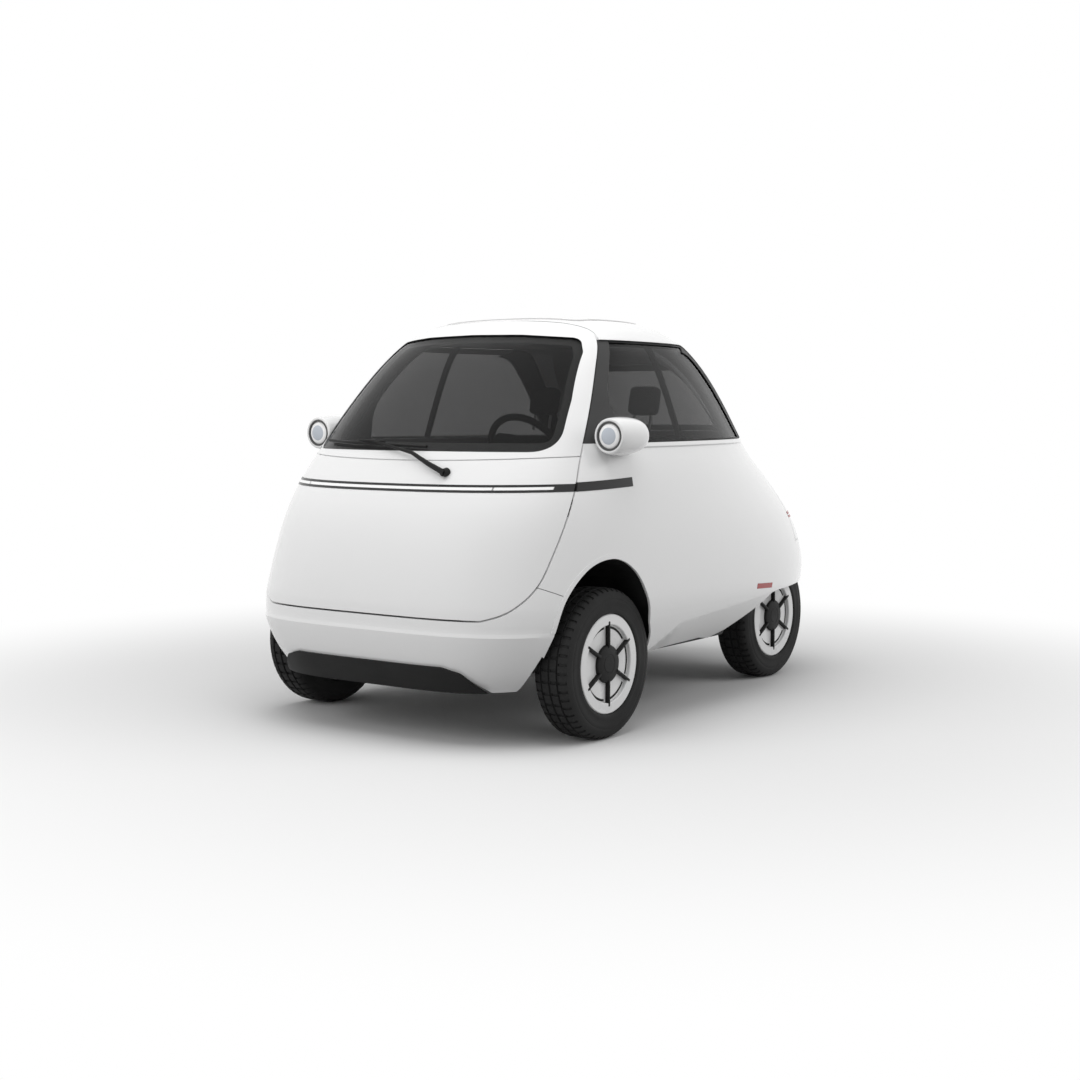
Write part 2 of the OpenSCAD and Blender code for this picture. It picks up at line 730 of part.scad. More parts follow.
// ---- cabin ----
cushion_z = floor_top + battery_h + 2 * fit;
cushion_y = Y(790);
back_y = cushion_y + seat_l + 5;
back_z = cushion_z + 30;
back_l = (cushion_t + back_h - 30) / cos(recline);
head_w = 165;
head_t = 85;
head_h = 150;
head_gap = 42;
module seat_cushion() {
  color("darkslategray") translate([-seat_w / 2, cushion_y, cushion_z]) cube([seat_w, seat_l, cushion_t]);
}
module back_frame() { translate([0, back_y, back_z]) rotate([-recline, 0, 0]) children(); }
module seat_back() {
  color("darkslategray") back_frame() translate([-seat_w / 2, 0, 0]) cube([seat_w, back_t, back_l]);
}
module seat_frame() {
  tube = 25;
  post_x = seat_w / 2 - 60;
  color("dimgray") {
    for (side = [-1, 1]) back_frame() translate([side * post_x - tube / 2, back_t + fit, 150])
      cube([tube, tube, back_l - 170]);
    back_frame() translate([-post_x, back_t + fit, back_l - 45]) cube([2 * post_x, tube, tube]);
    for (side = [-1, 1]) translate([side * post_x - tube / 2, Y(1370), boot_z + floor_t + fit])
      cube([tube, Y(1470) - Y(1370), tube]);
  }
}
module headrests() {
  color("darkslategray") for (side = [-1, 1]) back_frame() translate([side * seat_x, 15, back_l + head_gap]) {
    translate([-head_w / 2, 0, 0]) cube([head_w, head_t, head_h]);
    for (post = [-1, 1]) translate([post * 40, head_t / 2, fit - head_gap]) cylinder(d = 12, h = head_gap);
  }
}

// The steering wheel turns about the column's axis, which points up at the driver.
steering_y = Y(648);
steering_z = Z(990);
steering_tilt = 60;
shaft_d = 22;
hub_d = 90;
column_l = 300;
module steering_place() { translate([seat_x, steering_y, steering_z]) rotate([-steering_tilt, 0, 0]) children(); }
module steering_column() {
  foot_y = steering_y - (column_l - 20) * sin(steering_tilt);
  foot_z = steering_z - (column_l - 20) * cos(steering_tilt);
  color("dimgray") difference() {
    union() {
      steering_place() translate([0, 0, -column_l]) cylinder(d = 60, h = column_l - 40);
      steering_place() translate([-70, -95, -110]) cube([140, 75, 50]);
      translate([seat_x - 25, foot_y - 22, floor_top + fit]) cube([50, 44, foot_z - floor_top]);
    }
    steering_place() translate([0, 0, -column_l / 2]) cylinder(d = shaft_d + 2 * running_fit, h = column_l);
  }
}
module steering_wheel() {
  color("dimgray") steering_place() {
    rotate_extrude() translate([(steering_d - steering_rim) / 2, 0]) circle(d = steering_rim);
    translate([0, 0, -38]) cylinder(d = hub_d, h = 44);
    translate([0, 0, -130]) cylinder(d = shaft_d, h = 110);
    for (turn = [0, 90, 180]) rotate([0, 0, turn]) translate([hub_d / 2 - 6, -14, -8])
      cube([(steering_d - steering_rim - hub_d) / 2 + 4, 28, 12]);
  }
}

// ---- running gear ----
eye_t = 20;
eye_d = 52;
knuckle_d = 40;
hub_in = -15;
hub_out = 50;
tower_x = kingpin_x - 170;
module front_axle() {
  low = axle_z - knuckle_h / 2 - fit - eye_t;
  high = axle_z + knuckle_h / 2 + fit;
  color("gray") difference() {
    union() {
      translate([-tower_x - 40, front_y - 40, axle_z - 66]) cube([2 * tower_x + 80, 80, floor_z - fit - axle_z + 66]);
      for (side = [-1, 1]) {
        translate([side * (tower_x + 20) - 20, front_y - 30, low]) cube([40, 60, high + eye_t - low]);
        for (z = [low, high]) {
          translate([min(side * tower_x, side * kingpin_x), front_y - 18, z]) cube([kingpin_x - tower_x, 36, eye_t]);
          translate([side * kingpin_x, front_y, z]) cylinder(d = eye_d, h = eye_t);
        }
      }
    }
    for (side = [-1, 1]) translate([side * kingpin_x, front_y, low - 1])
      cylinder(d = kingpin_d + 2 * running_fit, h = high - low + eye_t + 2);
  }
}
module stub_axle(shoulder_l, shoulder_d) {
  rotate([0, 90, 0]) cylinder(d = shoulder_d, h = shoulder_l);
  rotate([0, 90, 0]) cylinder(d = stub_d, h = shoulder_l + hub_out - hub_in - 4);
}
module knuckle(side) {
  color("gray") translate([side * kingpin_x, front_y, axle_z]) {
    cylinder(d = kingpin_d, h = knuckle_h + 2 * eye_t + 2 * fit, center = true);
    cylinder(d = knuckle_d, h = knuckle_h, center = true);
    mirror([side < 0 ? 1 : 0, 0, 0]) stub_axle(kingpin_offset + hub_in - fit, 60);
  }
}
module knuckle_left() { knuckle(1); }
module knuckle_right() { knuckle(-1); }
module rear_axle() {
  arm_y = Y(1450) + fit;
  color("gray") {
    for (side = [0, 1]) mirror([side, 0, 0]) translate([0, rear_y, axle_z])
      stub_axle(rear_track / 2 + hub_in - fit, 60);
    for (side = [-1, 1]) translate([side * X(250) - 20, arm_y, axle_z - 20]) cube([40, rear_y - arm_y, 40]);
  }
}
module wheel(side, track, y) {
  rim_r = rim_d / 2;
  bore_r = stub_d / 2 + running_fit;
  face = tyre_w / 2 - 5;
  color("white") translate([side * track / 2, y, axle_z]) rotate([0, side * 90, 0]) rotate_extrude() polygon([
    [bore_r, hub_in], [bore_r + 18, hub_in], [bore_r + 18, face - 22], [rim_r - 10, face - 22],
    [rim_r - 10, 4 - tyre_w / 2], [rim_r - fit, 4 - tyre_w / 2], [rim_r - fit, face], [rim_r - 39, face],
    [rim_r - 39, face - 14], [0, face - 14], [0, hub_out], [bore_r, hub_out]]);
}
module tyre(side, track, y) {
  r = tyre_d / 2;
  seat = rim_d / 2;
  h = tyre_w / 2;
  half = [[seat, -h + 8], [seat + 14, -h], [r - 30, -h], [r - 12, -h + 6], [r - 3, -h + 18], [r, -h + 32]];
  color("black") translate([side * track / 2, y, axle_z]) rotate([0, side * 90, 0]) rotate_extrude()
    polygon(concat(half, [for (k = [len(half) - 1 : -1 : 0]) [half[k][0], -half[k][1]]]));
}
module wheel_front_left() { wheel(1, front_track, front_y); }
module wheel_front_right() { wheel(-1, front_track, front_y); }
module wheel_rear_left() { wheel(1, rear_track, rear_y); }
module wheel_rear_right() { wheel(-1, rear_track, rear_y); }
module tyre_front_left() { tyre(1, front_track, front_y); }
module tyre_front_right() { tyre(-1, front_track, front_y); }
module tyre_rear_left() { tyre(1, rear_track, rear_y); }
module tyre_rear_right() { tyre(-1, rear_track, rear_y); }

front_door();
windscreen();
light_bar();
wiper();
door_dash();
door_hinge_arms();
side_panel_left();
side_panel_right();
roof_panel();
sunroof();
front_bumper();
grille();
rear_bumper();
plate_holder();
tailgate();
rear_window();
rear_light_bar();
tailgate_hinge_arms();
hinge_pins();
side_windows();
quarter_panels();
lamp_pods();
headlight_lenses();
mirror_glasses();
side_strips();
side_markers();
floor_pan();
front_liners();
rear_liners();
battery_box();
motor();
seat_cushion();
seat_back();
seat_frame();
headrests();
steering_column();
steering_wheel();
front_axle();
knuckle_left();
knuckle_right();
rear_axle();
wheel_front_left();
wheel_front_right();
wheel_rear_left();
wheel_rear_right();
tyre_front_left();
tyre_front_right();
tyre_rear_left();
tyre_rear_right();
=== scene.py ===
"""Finished look of a two-seat microcar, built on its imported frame."""
import logging
import math
from collections.abc import Sequence
from dataclasses import dataclass, field
from enum import Enum

import bmesh
import bpy
import numpy as np
from mathutils import Matrix, Vector


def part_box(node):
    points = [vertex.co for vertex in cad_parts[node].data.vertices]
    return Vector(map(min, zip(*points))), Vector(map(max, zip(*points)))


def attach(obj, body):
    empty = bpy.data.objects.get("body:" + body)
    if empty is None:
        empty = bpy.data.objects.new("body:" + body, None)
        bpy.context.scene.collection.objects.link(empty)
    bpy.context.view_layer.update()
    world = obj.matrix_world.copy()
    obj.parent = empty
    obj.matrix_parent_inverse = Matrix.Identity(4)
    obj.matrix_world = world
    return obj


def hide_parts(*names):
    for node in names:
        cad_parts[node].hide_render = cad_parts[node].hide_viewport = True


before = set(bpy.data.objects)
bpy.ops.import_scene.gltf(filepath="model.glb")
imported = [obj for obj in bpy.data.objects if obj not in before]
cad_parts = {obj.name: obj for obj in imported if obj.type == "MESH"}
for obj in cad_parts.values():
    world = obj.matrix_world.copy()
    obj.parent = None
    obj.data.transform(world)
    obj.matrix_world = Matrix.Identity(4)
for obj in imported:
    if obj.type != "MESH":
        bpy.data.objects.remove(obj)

log = logging.getLogger("microcar")
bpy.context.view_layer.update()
MM = 0.001
FIT = 0.3  # round fixed glass, strips and trim
GAP = 6.0  # round the front door, and between the side panels and the tailgate
LID_GAP = 12.0  # between the roof and the tailgate
Point2 = tuple[float, float]
Point3 = tuple[float, float, float]
Outline = list[Point2]
Cutters = Sequence[bpy.types.Object]


# ---------------------------------------------------------------- finishes
class Body(Enum):
    """The bodies that pieces ride on."""

    CHASSIS = "chassis"
    DOOR = "door"
    LID = "lid"
    STEERING = "steering"


class Pattern(Enum):
    """The two shared surface patterns."""

    GRAIN = "Grain"
    WEAVE = "Weave"


def add_socket(tree: bpy.types.NodeTree, name: str, kind: str, way: str,
               value: float | tuple[float, ...] | None = None) -> None:
    """Adds one socket to a node group.

    Args:
        tree: The node group.
        name: The socket's name.
        kind: Its type, such as Float, Color or Vector.
        way: INPUT or OUTPUT.
        value: Its default, if any.
    """
    socket = tree.interface.new_socket(name=name, in_out=way, socket_type=f"NodeSocket{kind}")
    if value is not None:
        socket.default_value = value


def add_node(tree: bpy.types.NodeTree, kind: str, feeds: dict | None = None, **settings: object) -> bpy.types.Node:
    """Adds a shader node.

    Args:
        tree: The tree that it is added to.
        kind: Its type, without ShaderNode.
        feeds: For each input, the output linked to it or its own value.
        settings: The node's other settings, which are made first.

    Returns:
        The node.
    """
    node = tree.nodes.new(f"ShaderNode{kind}")
    for name, value in settings.items():
        setattr(node, name, value)
    for name, feed in (feeds or {}).items():
        if isinstance(feed, bpy.types.NodeSocket):
            tree.links.new(feed, node.inputs[name])
        else:
            node.inputs[name].default_value = feed
    return node


def pattern_group(pattern: Pattern) -> bpy.types.NodeTree:
    """Finds or builds the shared group that varies colour, roughness and normal.

    Args:
        pattern: GRAIN for moulded, cast and painted surfaces, WEAVE for cloth.

    Returns:
        The node group.
    """
    found = bpy.data.node_groups.get(pattern.value)
    if found:
        return found
    tree = bpy.data.node_groups.new(pattern.value, "ShaderNodeTree")
    for name, kind, value in (("Colour", "Color", (0.8, 0.8, 0.8, 1)), ("Dark", "Color", (0.6, 0.6, 0.6, 1)),
                              ("Scale", "Float", 200.0), ("Wear", "Float", 0.2), ("Low", "Float", 0.3),
                              ("High", "Float", 0.5), ("Depth", "Float", 0.1)):
        add_socket(tree, name, kind, "INPUT", value)
    for name, kind in (("Colour", "Color"), ("Roughness", "Float"), ("Normal", "Vector")):
        add_socket(tree, name, kind, "OUTPUT")
    given, result = tree.nodes.new("NodeGroupInput").outputs, tree.nodes.new("NodeGroupOutput").inputs
    place = add_node(tree, "TexCoord").outputs["Object"]
    broad = add_node(tree, "TexNoise", {"Vector": place, "Scale": 5.0, "Detail": 3.0}).outputs["Fac"]
    if pattern is Pattern.WEAVE:
        waves = [add_node(tree, "TexWave", {"Vector": place, "Scale": given["Scale"], "Distortion": 0.6},
                          bands_direction=way).outputs["Fac"] for way in "XYZ"]
        pair = add_node(tree, "Math", {0: waves[0], 1: waves[1]}, operation="ADD").outputs[0]
        height = add_node(tree, "Math", {0: pair, 1: waves[2]}, operation="ADD").outputs[0]
    else:
        height = add_node(tree, "TexNoise", {"Vector": place, "Scale": given["Scale"], "Detail": 4.0}).outputs["Fac"]
    spread = add_node(tree, "Math", {0: broad, 1: given["Wear"]}, operation="MULTIPLY").outputs[0]
    colour = add_node(tree, "Mix", {"Factor": spread, "A": given["Colour"], "B": given["Dark"]}, data_type="RGBA")
    rough = add_node(tree, "MapRange", {"Value": broad, "From Min": 0.3, "From Max": 0.7, "To Min": given["Low"],
                                        "To Max": given["High"]})
    bump = add_node(tree, "Bump", {"Distance": 0.0006, "Strength": given["Depth"], "Height": height})
    tree.links.new(colour.outputs["Result"], result["Colour"])
    tree.links.new(rough.outputs["Result"], result["Roughness"])
    tree.links.new(bump.outputs["Normal"], result["Normal"])
    return tree


@dataclass(frozen=True)
class Finish:
    """One surface finish, with the record's slot that it stands for."""

    name: str
    slot: str
    colour: Point3
    dark: Point3
    low: float = 0.3
    high: float = 0.45
    scale: float = 300.0
    wear: float = 0.3
    depth: float = 0.08
    metallic: float = 0.0
    coat: float = 0.0
    alpha: float = 1.0
    glow: float = 0.0
    specular: float = 0.5
    pattern: Pattern = Pattern.GRAIN

    def material(self) -> bpy.types.Material:
        """Finds or builds the material.

        Returns:
            The material.
        """
        found = bpy.data.materials.get(self.name)
        if found:
            return found
        made = bpy.data.materials.new(self.name)
        made.use_nodes = True
        tree = made.node_tree
        shader = next(n for n in tree.nodes if n.type == "BSDF_PRINCIPLED")
        group = add_node(tree, "Group", node_tree=pattern_group(self.pattern))
        for name, value in (("Colour", (*self.colour, 1)), ("Dark", (*self.dark, 1)), ("Scale", self.scale),
                            ("Wear", self.wear), ("Low", self.low), ("High", self.high), ("Depth", self.depth)):
            group.inputs[name].default_value = value
        for name, target in (("Colour", "Base Color"), ("Roughness", "Roughness"), ("Normal", "Normal")):
            tree.links.new(group.outputs[name], shader.inputs[target])
        for name, value in (("Metallic", self.metallic), ("Coat Weight", self.coat), ("Coat Roughness", 0.04),
                            ("Alpha", self.alpha), ("Specular IOR Level", self.specular)):
            shader.inputs[name].default_value = value
        if self.glow:
            shader.inputs["Emission Color"].default_value = (*self.colour, 1)
            shader.inputs["Emission Strength"].default_value = self.glow
        return made


def grey(value: float) -> Point3:
    """Returns a neutral colour of the given value."""
    return (value, value, value)


PAINT = Finish("white_gloss_paint", "paint", grey(0.80), grey(0.77), 0.26, 0.26, 900, 0.1, 0.0, coat=1.0)
ROOF_CLOTH = Finish("roof_cloth", "roof_cover", grey(0.78), grey(0.7), 0.6, 0.75, 900, 0.4, 0.25,
                    pattern=Pattern.WEAVE)
TINTED = Finish("tinted_glass", "glass", grey(0.006), grey(0.01), 0.02, 0.05, 40, 0.3, 0.0, alpha=0.52,
                specular=0.25)
FRIT = Finish("frit_border", "glass", grey(0.19), grey(0.15), 0.4, 0.5, 600, 0.3, 0.05, specular=0.2)
SCREEN_FRIT = Finish("screen_frit_border", "glass", grey(0.36), grey(0.3), 0.4, 0.5, 600, 0.3, 0.05,
                     specular=0.2)
LENS = Finish("lamp_lens", "lens", grey(0.82), grey(0.7), 0.05, 0.12, 160, 0.3, 0.15, coat=1.0, glow=0.12)
LENS_CENTRE = Finish("lamp_centre", "lens", (0.5, 0.54, 0.6), (0.4, 0.44, 0.5), 0.05, 0.12, 160, 0.3, 0.1,
                     coat=1.0)
GREY_RING = Finish("lamp_ring", "lens", grey(0.06), grey(0.04), 0.2, 0.35, 300, 0.4, 0.05)
CHROME = Finish("bright_metal", "mirror", grey(0.75), grey(0.6), 0.06, 0.14, 400, 0.3, 0.02, metallic=1.0)
STRIP = Finish("strip_gloss_grey", "strip", grey(0.022), grey(0.014), 0.15, 0.25, 500, 0.3, 0.02, specular=0.35)
WHITE_BAR = Finish("light_guide", "strip", grey(0.85), grey(0.75), 0.1, 0.2, 260, 0.3, 0.05, coat=0.8, glow=0.1)
RED_LENS = Finish("red_lens", "red_lens", (0.16, 0.012, 0.014), (0.09, 0.006, 0.01), 0.08, 0.16, 220, 0.5, 0.2,
                  coat=1.0)
BLACK_TRIM = Finish("black_moulding", "black_trim", grey(0.006), grey(0.012), 0.42, 0.6, 1400, 0.5, 0.35,
                    specular=0.2)
DARK_TRIM = Finish("charcoal_moulding", "dark_trim", grey(0.045), grey(0.03), 0.4, 0.55, 1300, 0.5, 0.3,
                   specular=0.25)
STEEL = Finish("bare_steel", "steel", grey(0.45), grey(0.3), 0.25, 0.42, 700, 0.6, 0.1, metallic=1.0)
PLATE = Finish("plate_panel", "plate", grey(0.62), grey(0.55), 0.3, 0.45, 500, 0.3, 0.1)
UNDERSIDE = Finish("underbody", "floor", grey(0.03), grey(0.018), 0.7, 0.85, 900, 0.6, 0.4)
BATTERY = Finish("battery_case", "battery", grey(0.12), grey(0.07), 0.45, 0.6, 900, 0.5, 0.25)
MOTOR = Finish("motor_casting", "motor", grey(0.3), grey(0.2), 0.4, 0.6, 500, 0.5, 0.4, metallic=0.7)
SEAT = Finish("seat_cloth", "seat", grey(0.028), grey(0.015), 0.8, 0.95, 1100, 0.5, 0.5, pattern=Pattern.WEAVE)
CAST = Finish("cast_metal", "cast", grey(0.25), grey(0.16), 0.45, 0.65, 600, 0.5, 0.35, metallic=0.8)
RIM = Finish("rim_white", "rim", grey(0.82), grey(0.76), 0.25, 0.35, 700, 0.3, 0.04, coat=0.5)
RUBBER = Finish("tyre_rubber", "tyre", grey(0.014), grey(0.008), 0.6, 0.78, 900, 0.6, 0.4, specular=0.3)


# ---------------------------------------------------------------- the shell
STATIONS = (
    (190, 45, 2440, 625, 885, 4.2, 3.0), (260, 10, 2482, 680, 880, 4.1, 3.1),
    (400, -4, 2520, 740, 865, 3.9, 3.12), (550, 22, 2524, 741, 840, 3.5, 3.08),
    (700, 64, 2488, 727, 800, 3.3, 2.8), (820, 116, 2398, 709, 765, 3.15, 2.5),
    (930, 192, 2275, 689, 765, 2.95, 2.35), (1000, 242, 2186, 668, 785, 2.85, 2.3),
    (1150, 356, 2045, 616, 830, 2.75, 2.4), (1300, 490, 1880, 556, 895, 2.7, 2.5),
    (1400, 597, 1720, 506, 965, 2.65, 2.5), (1465, 686, 1562, 441, 1030, 2.6, 2.5),
    (1500, 792, 1402, 330, 1085, 2.5, 2.5), (1511, 1110, 1110, 0, 1110, 2.4, 2.4),
)
WIDTH_SHARE = 1474 / 1478
MIDDLE = 1261.6


def to_x(x: float) -> float:
    """Returns metres across the car for a drawn distance from its middle."""
    return x * WIDTH_SHARE * MM


def to_y(y: float) -> float:
    """Returns metres along the car for a drawn distance from its nose."""
    return (y - MIDDLE) * MM


@dataclass
class Shell:
    """The lofted outer surface that every panel, window and strip is cut from."""

    around: int = 264
    lean: float = 0.32
    crease: tuple[Point2, ...] = ((700, 227), (849, 306), (966, 368), (1719, 415), (2100, 418))
    store: dict = field(default_factory=dict)

    def __post_init__(self) -> None:
        """Adds the end stations and a table from height to place in the loft."""
        rows = np.array(STATIONS, float)
        top = rows[-2]
        last = np.array([top[0], top[2], top[1], -top[3], top[4], top[5], top[6]])
        self.loft = np.vstack([2 * rows[0] - rows[1], rows, last])
        self.spans = len(rows) - 1
        self.table_t = np.linspace(0, self.spans, 2000)
        self.table_z = self.level(self.table_t)[:, 0]

    def level(self, t: np.ndarray) -> np.ndarray:
        """Blends the stations.

        Args:
            t: Places in the loft, from 0 at the sill to the number of spans at the roof.

        Returns:
            One blended station for each place.
        """
        index = np.clip(np.floor(t).astype(int), 0, self.spans - 1)
        part = (t - index)[:, None]
        weights = ((1 - part) ** 3 / 6, (3 * part ** 3 - 6 * part ** 2 + 4) / 6,
                   (-3 * part ** 3 + 3 * part ** 2 + 3 * part + 1) / 6, part ** 3 / 6)
        return sum(w * self.loft[index + k] for k, w in enumerate(weights))

    def station(self, z: float) -> np.ndarray:
        """Returns the blended station at a drawn height."""
        return self.level(np.array([np.interp(z, self.table_z, self.table_t)]))[0]

    def nose(self, x: float, z: float, off: float = 0.0) -> Vector:
        """Finds a point on the nose.

        Args:
            x: Drawn distance from the middle.
            z: Drawn height.
            off: Millimetres ahead of the surface.

        Returns:
            The point in metres.
        """
        s = self.station(z)
        y = s[4] - (s[4] - s[1]) * max(1 - (abs(x) / s[3]) ** s[5], 0.0) ** (1 / s[5])
        return Vector((to_x(x), to_y(y) - off * MM, z * MM))

    def points(self, levels: np.ndarray, angle: np.ndarray, inset: float) -> np.ndarray:
        """Places points on the inset surface.

        Args:
            levels: One blended station for each point.
            angle: One angle for each point, from the nose towards the left side.
            inset: Millimetres inside the outer surface.

        Returns:
            The points in metres.
        """
        c, s = np.cos(angle), np.sin(angle)
        power = np.where(c > 0, levels[:, 5], levels[:, 6])
        reach = (np.abs(c) ** power + np.abs(s) ** power) ** (-1 / power)
        bumper = self.bumper_relief(levels[:, 0]) if inset == 0 else 0.0
        push = np.clip((np.abs(c) - 0.55) / 0.15, 0, 1) * bumper
        half = np.maximum(levels[:, 3] * WIDTH_SHARE - inset - push, 0.5)
        nose = levels[:, 1] - MIDDLE + inset + push
        tail = levels[:, 2] - MIDDLE - inset - push
        mid = levels[:, 4] - MIDDLE
        y = np.where(c > 0, mid + np.minimum(nose - mid, -0.5) * reach * c,
                     mid - np.maximum(tail - mid, 0.5) * reach * c)
        drop = inset * np.clip((levels[:, 0] - 700) / 450, 0, 1)
        z = levels[:, 0] - drop
        tip = levels[:, 3] < 1e-6
        x = np.where(tip, 0.0, half * reach * s)
        y = np.where(tip, mid, y)
        return np.stack([x, y, z], 1) * MM

    @staticmethod
    def bumper_relief(z: np.ndarray) -> np.ndarray:
        """Returns how far the bumpers' faces step in at each height, round their long crease."""
        above = 3.0 * np.clip((480 - z) / 77, 0, 1) * np.clip((z - 390) / 13, 0, 1)
        below = 0.16 * np.clip(390 - z, 0, 200)
        return above + below

    def sheet(self, mesh: bmesh.types.BMesh, inset: float) -> None:
        """Adds one closed-up layer of the surface to a mesh.

        Args:
            mesh: The mesh.
            inset: Millimetres inside the outer surface.
        """
        special = np.interp([376, 390, 403, 430, 480], self.table_z, self.table_t)
        places = np.unique(np.concatenate([np.linspace(0, self.spans, 92), special]))
        made = bmesh.ops.create_grid(mesh, x_segments=self.around, y_segments=len(places) - 1, size=1.0)["verts"]
        flat = np.array([v.co for v in made])
        rows = np.rint((flat[:, 1] + 1) / 2 * (len(places) - 1)).astype(int)
        found = self.points(self.level(places)[rows], (flat[:, 0] + 1) * math.pi, inset)
        for vert, place in zip(made, found):
            vert.co = place
        bmesh.ops.remove_doubles(mesh, verts=made, dist=2e-6)

    def turn_under(self, mesh: bmesh.types.BMesh) -> None:
        """Creases the sides along the sill line and leans them in below it.

        Args:
            mesh: The mesh that is changed.
        """
        for (y0, z0), (y1, z1) in zip(self.crease, self.crease[1:]):
            normal = Vector((0, -(z1 - z0), y1 - y0)).normalized()
            bmesh.ops.bisect_plane(mesh, geom=mesh.verts[:] + mesh.edges[:] + mesh.faces[:], dist=1e-5,
                                   plane_co=(0, to_y(y0), z0 * MM), plane_no=normal)
        ys = [to_y(p[0]) for p in self.crease]
        zs = [p[1] * MM for p in self.crease]
        for vert in mesh.verts:
            x, y, z = vert.co
            if abs(x) < 0.35 or not ys[0] < y < ys[-1]:
                continue
            under = float(np.interp(y, ys, zs)) - z
            if under > 1e-5:
                vert.co.x -= math.copysign(self.lean * under, x)

    def skin(self, outer: float, inner: float) -> bpy.types.Mesh:
        """Makes the closed layer between two insets of the surface.

        Args:
            outer: Inset of its outside, in millimetres.
            inner: Inset of its inside.

        Returns:
            The mesh, kept for the next caller.
        """
        key = (outer, inner)
        if key not in self.store:
            mesh = bmesh.new()
            self.sheet(mesh, outer)
            outside = set(mesh.faces)
            self.sheet(mesh, inner)
            bmesh.ops.reverse_faces(mesh, faces=[f for f in mesh.faces if f not in outside])
            rim = [e for e in mesh.edges if e.is_boundary]
            bmesh.ops.bridge_loops(mesh, edges=rim)
            self.turn_under(mesh)
            bmesh.ops.recalc_face_normals(mesh, faces=mesh.faces[:])
            data = bpy.data.meshes.new(f"skin_{outer}_{inner}")
            mesh.to_mesh(data)
            mesh.free()
            self.store[key] = data
        return self.store[key]


SHELL = Shell()


# ---------------------------------------------------------------- outlines
def curve(points: list[Point2], steps: int = 8) -> Outline:
    """Runs a smooth curve through points.

    Args:
        points: The points.
        steps: Short lines between two neighbours.

    Returns:
        The curve's points.
    """
    out: Outline = []
    for i in range(len(points) - 1):
        a, b = points[max(i - 1, 0)], points[i]
        c, d = points[i + 1], points[min(i + 2, len(points) - 1)]
        for k in range(steps):
            t = k / steps
            out.append(tuple(0.5 * (2 * q + (r - p) * t + (2 * p - 5 * q + 4 * r - s) * t * t
                                    + (3 * q - p - 3 * r + s) * t ** 3) for p, q, r, s in zip(a, b, c, d)))
    out.append(points[-1])
    return out


def grow(points: Outline, distance: float) -> Outline:
    """Moves a closed outline outwards, or inwards for a negative distance.

    Args:
        points: The outline.
        distance: Millimetres to move each edge.

    Returns:
        The new outline.
    """
    p = np.array(points, float)
    area = np.sum(p[:, 0] * np.roll(p[:, 1], -1) - p[:, 1] * np.roll(p[:, 0], -1))
    edge = np.roll(p, -1, 0) - p
    edge /= np.maximum(np.linalg.norm(edge, axis=1, keepdims=True), 1e-9)
    out = np.stack([edge[:, 1], -edge[:, 0]], 1) * (1 if area > 0 else -1)
    before = np.roll(out, 1, 0)
    total = out + before
    scale = distance * 2 / np.maximum(np.sum(total * total, 1), 1.0)
    return [tuple(q) for q in p + total * scale[:, None]]


def rounded(points: Outline, radius: float, steps: int = 10) -> Outline:
    """Rounds each corner of an outline with an arc.

    Args:
        points: The outline's corners.
        radius: The arcs' radius.
        steps: Short lines in an arc.

    Returns:
        The rounded outline.
    """
    out: Outline = []
    for i, here in enumerate(points):
        corner = Vector(here)
        back = (Vector(points[i - 1]) - corner)
        ahead = (Vector(points[(i + 1) % len(points)]) - corner)
        reach = min(back.length, ahead.length) * 0.49
        back.normalize()
        ahead.normalize()
        turn = math.acos(max(-1, min(1, back.dot(ahead))))
        cut = min(radius / math.tan(turn / 2), reach)
        start, end = corner + back * cut, corner + ahead * cut
        for k in range(steps + 1):
            t = k / steps
            out.append(tuple((1 - t) ** 2 * start + 2 * t * (1 - t) * corner + t * t * end))
    return out


def circle(across: float, up: float, radius: float, steps: int = 64) -> Outline:
    """Draws a circle as short lines.

    Args:
        across: Its middle along the first direction of the drawing.
        up: Its middle along the second.
        radius: Its radius.
        steps: How many lines.

    Returns:
        The outline.
    """
    return [(across + radius * math.cos(a), up + radius * math.sin(a))
            for a in np.linspace(0, 2 * math.pi, steps + 1)[:-1]]


def rectangle(across: float, up: float, far_across: float, far_up: float) -> Outline:
    """Draws a rectangle from its first corner to the opposite one."""
    return [(across, up), (far_across, up), (far_across, far_up), (across, far_up)]


DOOR_SEAM = curve([(60, 448), (118, 484), (197, 562), (271, 680), (388, 872), (452, 976), (563, 1127),
                   (690, 1294), (785, 1402), (812, 1440), (800, 1466), (768, 1483)])
REAR_WINDOW_EDGE = curve([(1862, 1034), (1800, 1105), (1715, 1205), (1625, 1300), (1520, 1385), (1440, 1408)])
TAILGATE_SEAM = curve([(2085, 600), (2085, 705), (2050, 830), (1990, 940), (1930, 1034), (1868, 1115),
                       (1785, 1215), (1695, 1312), (1590, 1398), (1500, 1440)])
DOOR_ZONE = [(-200, 448), *DOOR_SEAM, (766, 1700), (-200, 1700)]
TAILGATE_ZONE = [(2800, 600), *TAILGATE_SEAM, (1465, 1460), (1462, 1700), (2800, 1700)]
REAR_BUMPER_ZONE = [(2085, 416), (2085, 594), (2800, 594), (2800, 416)]
FRONT_BUMPER_ZONE = [(-200, 480), (80, 480), (120, 512), (176, 568), (194, 556), (330, 500), (330, 100),
                     (-200, 100)]
SILL_ZONE = [(700, -50), (735, 268), (1225, 275), (1320, 262), (1425, 285), (1600, 352), (1722, 410),
             (1800, 416), (2800, 416), (2800, -50)]
FRONT_AXLE, REAR_AXLE, AXLE_Z = 510 + 2.6, 2079.6, 266.5
ARCH_TOP, ARCH_HALF, ARCH_LEAD = 635, 281, 7
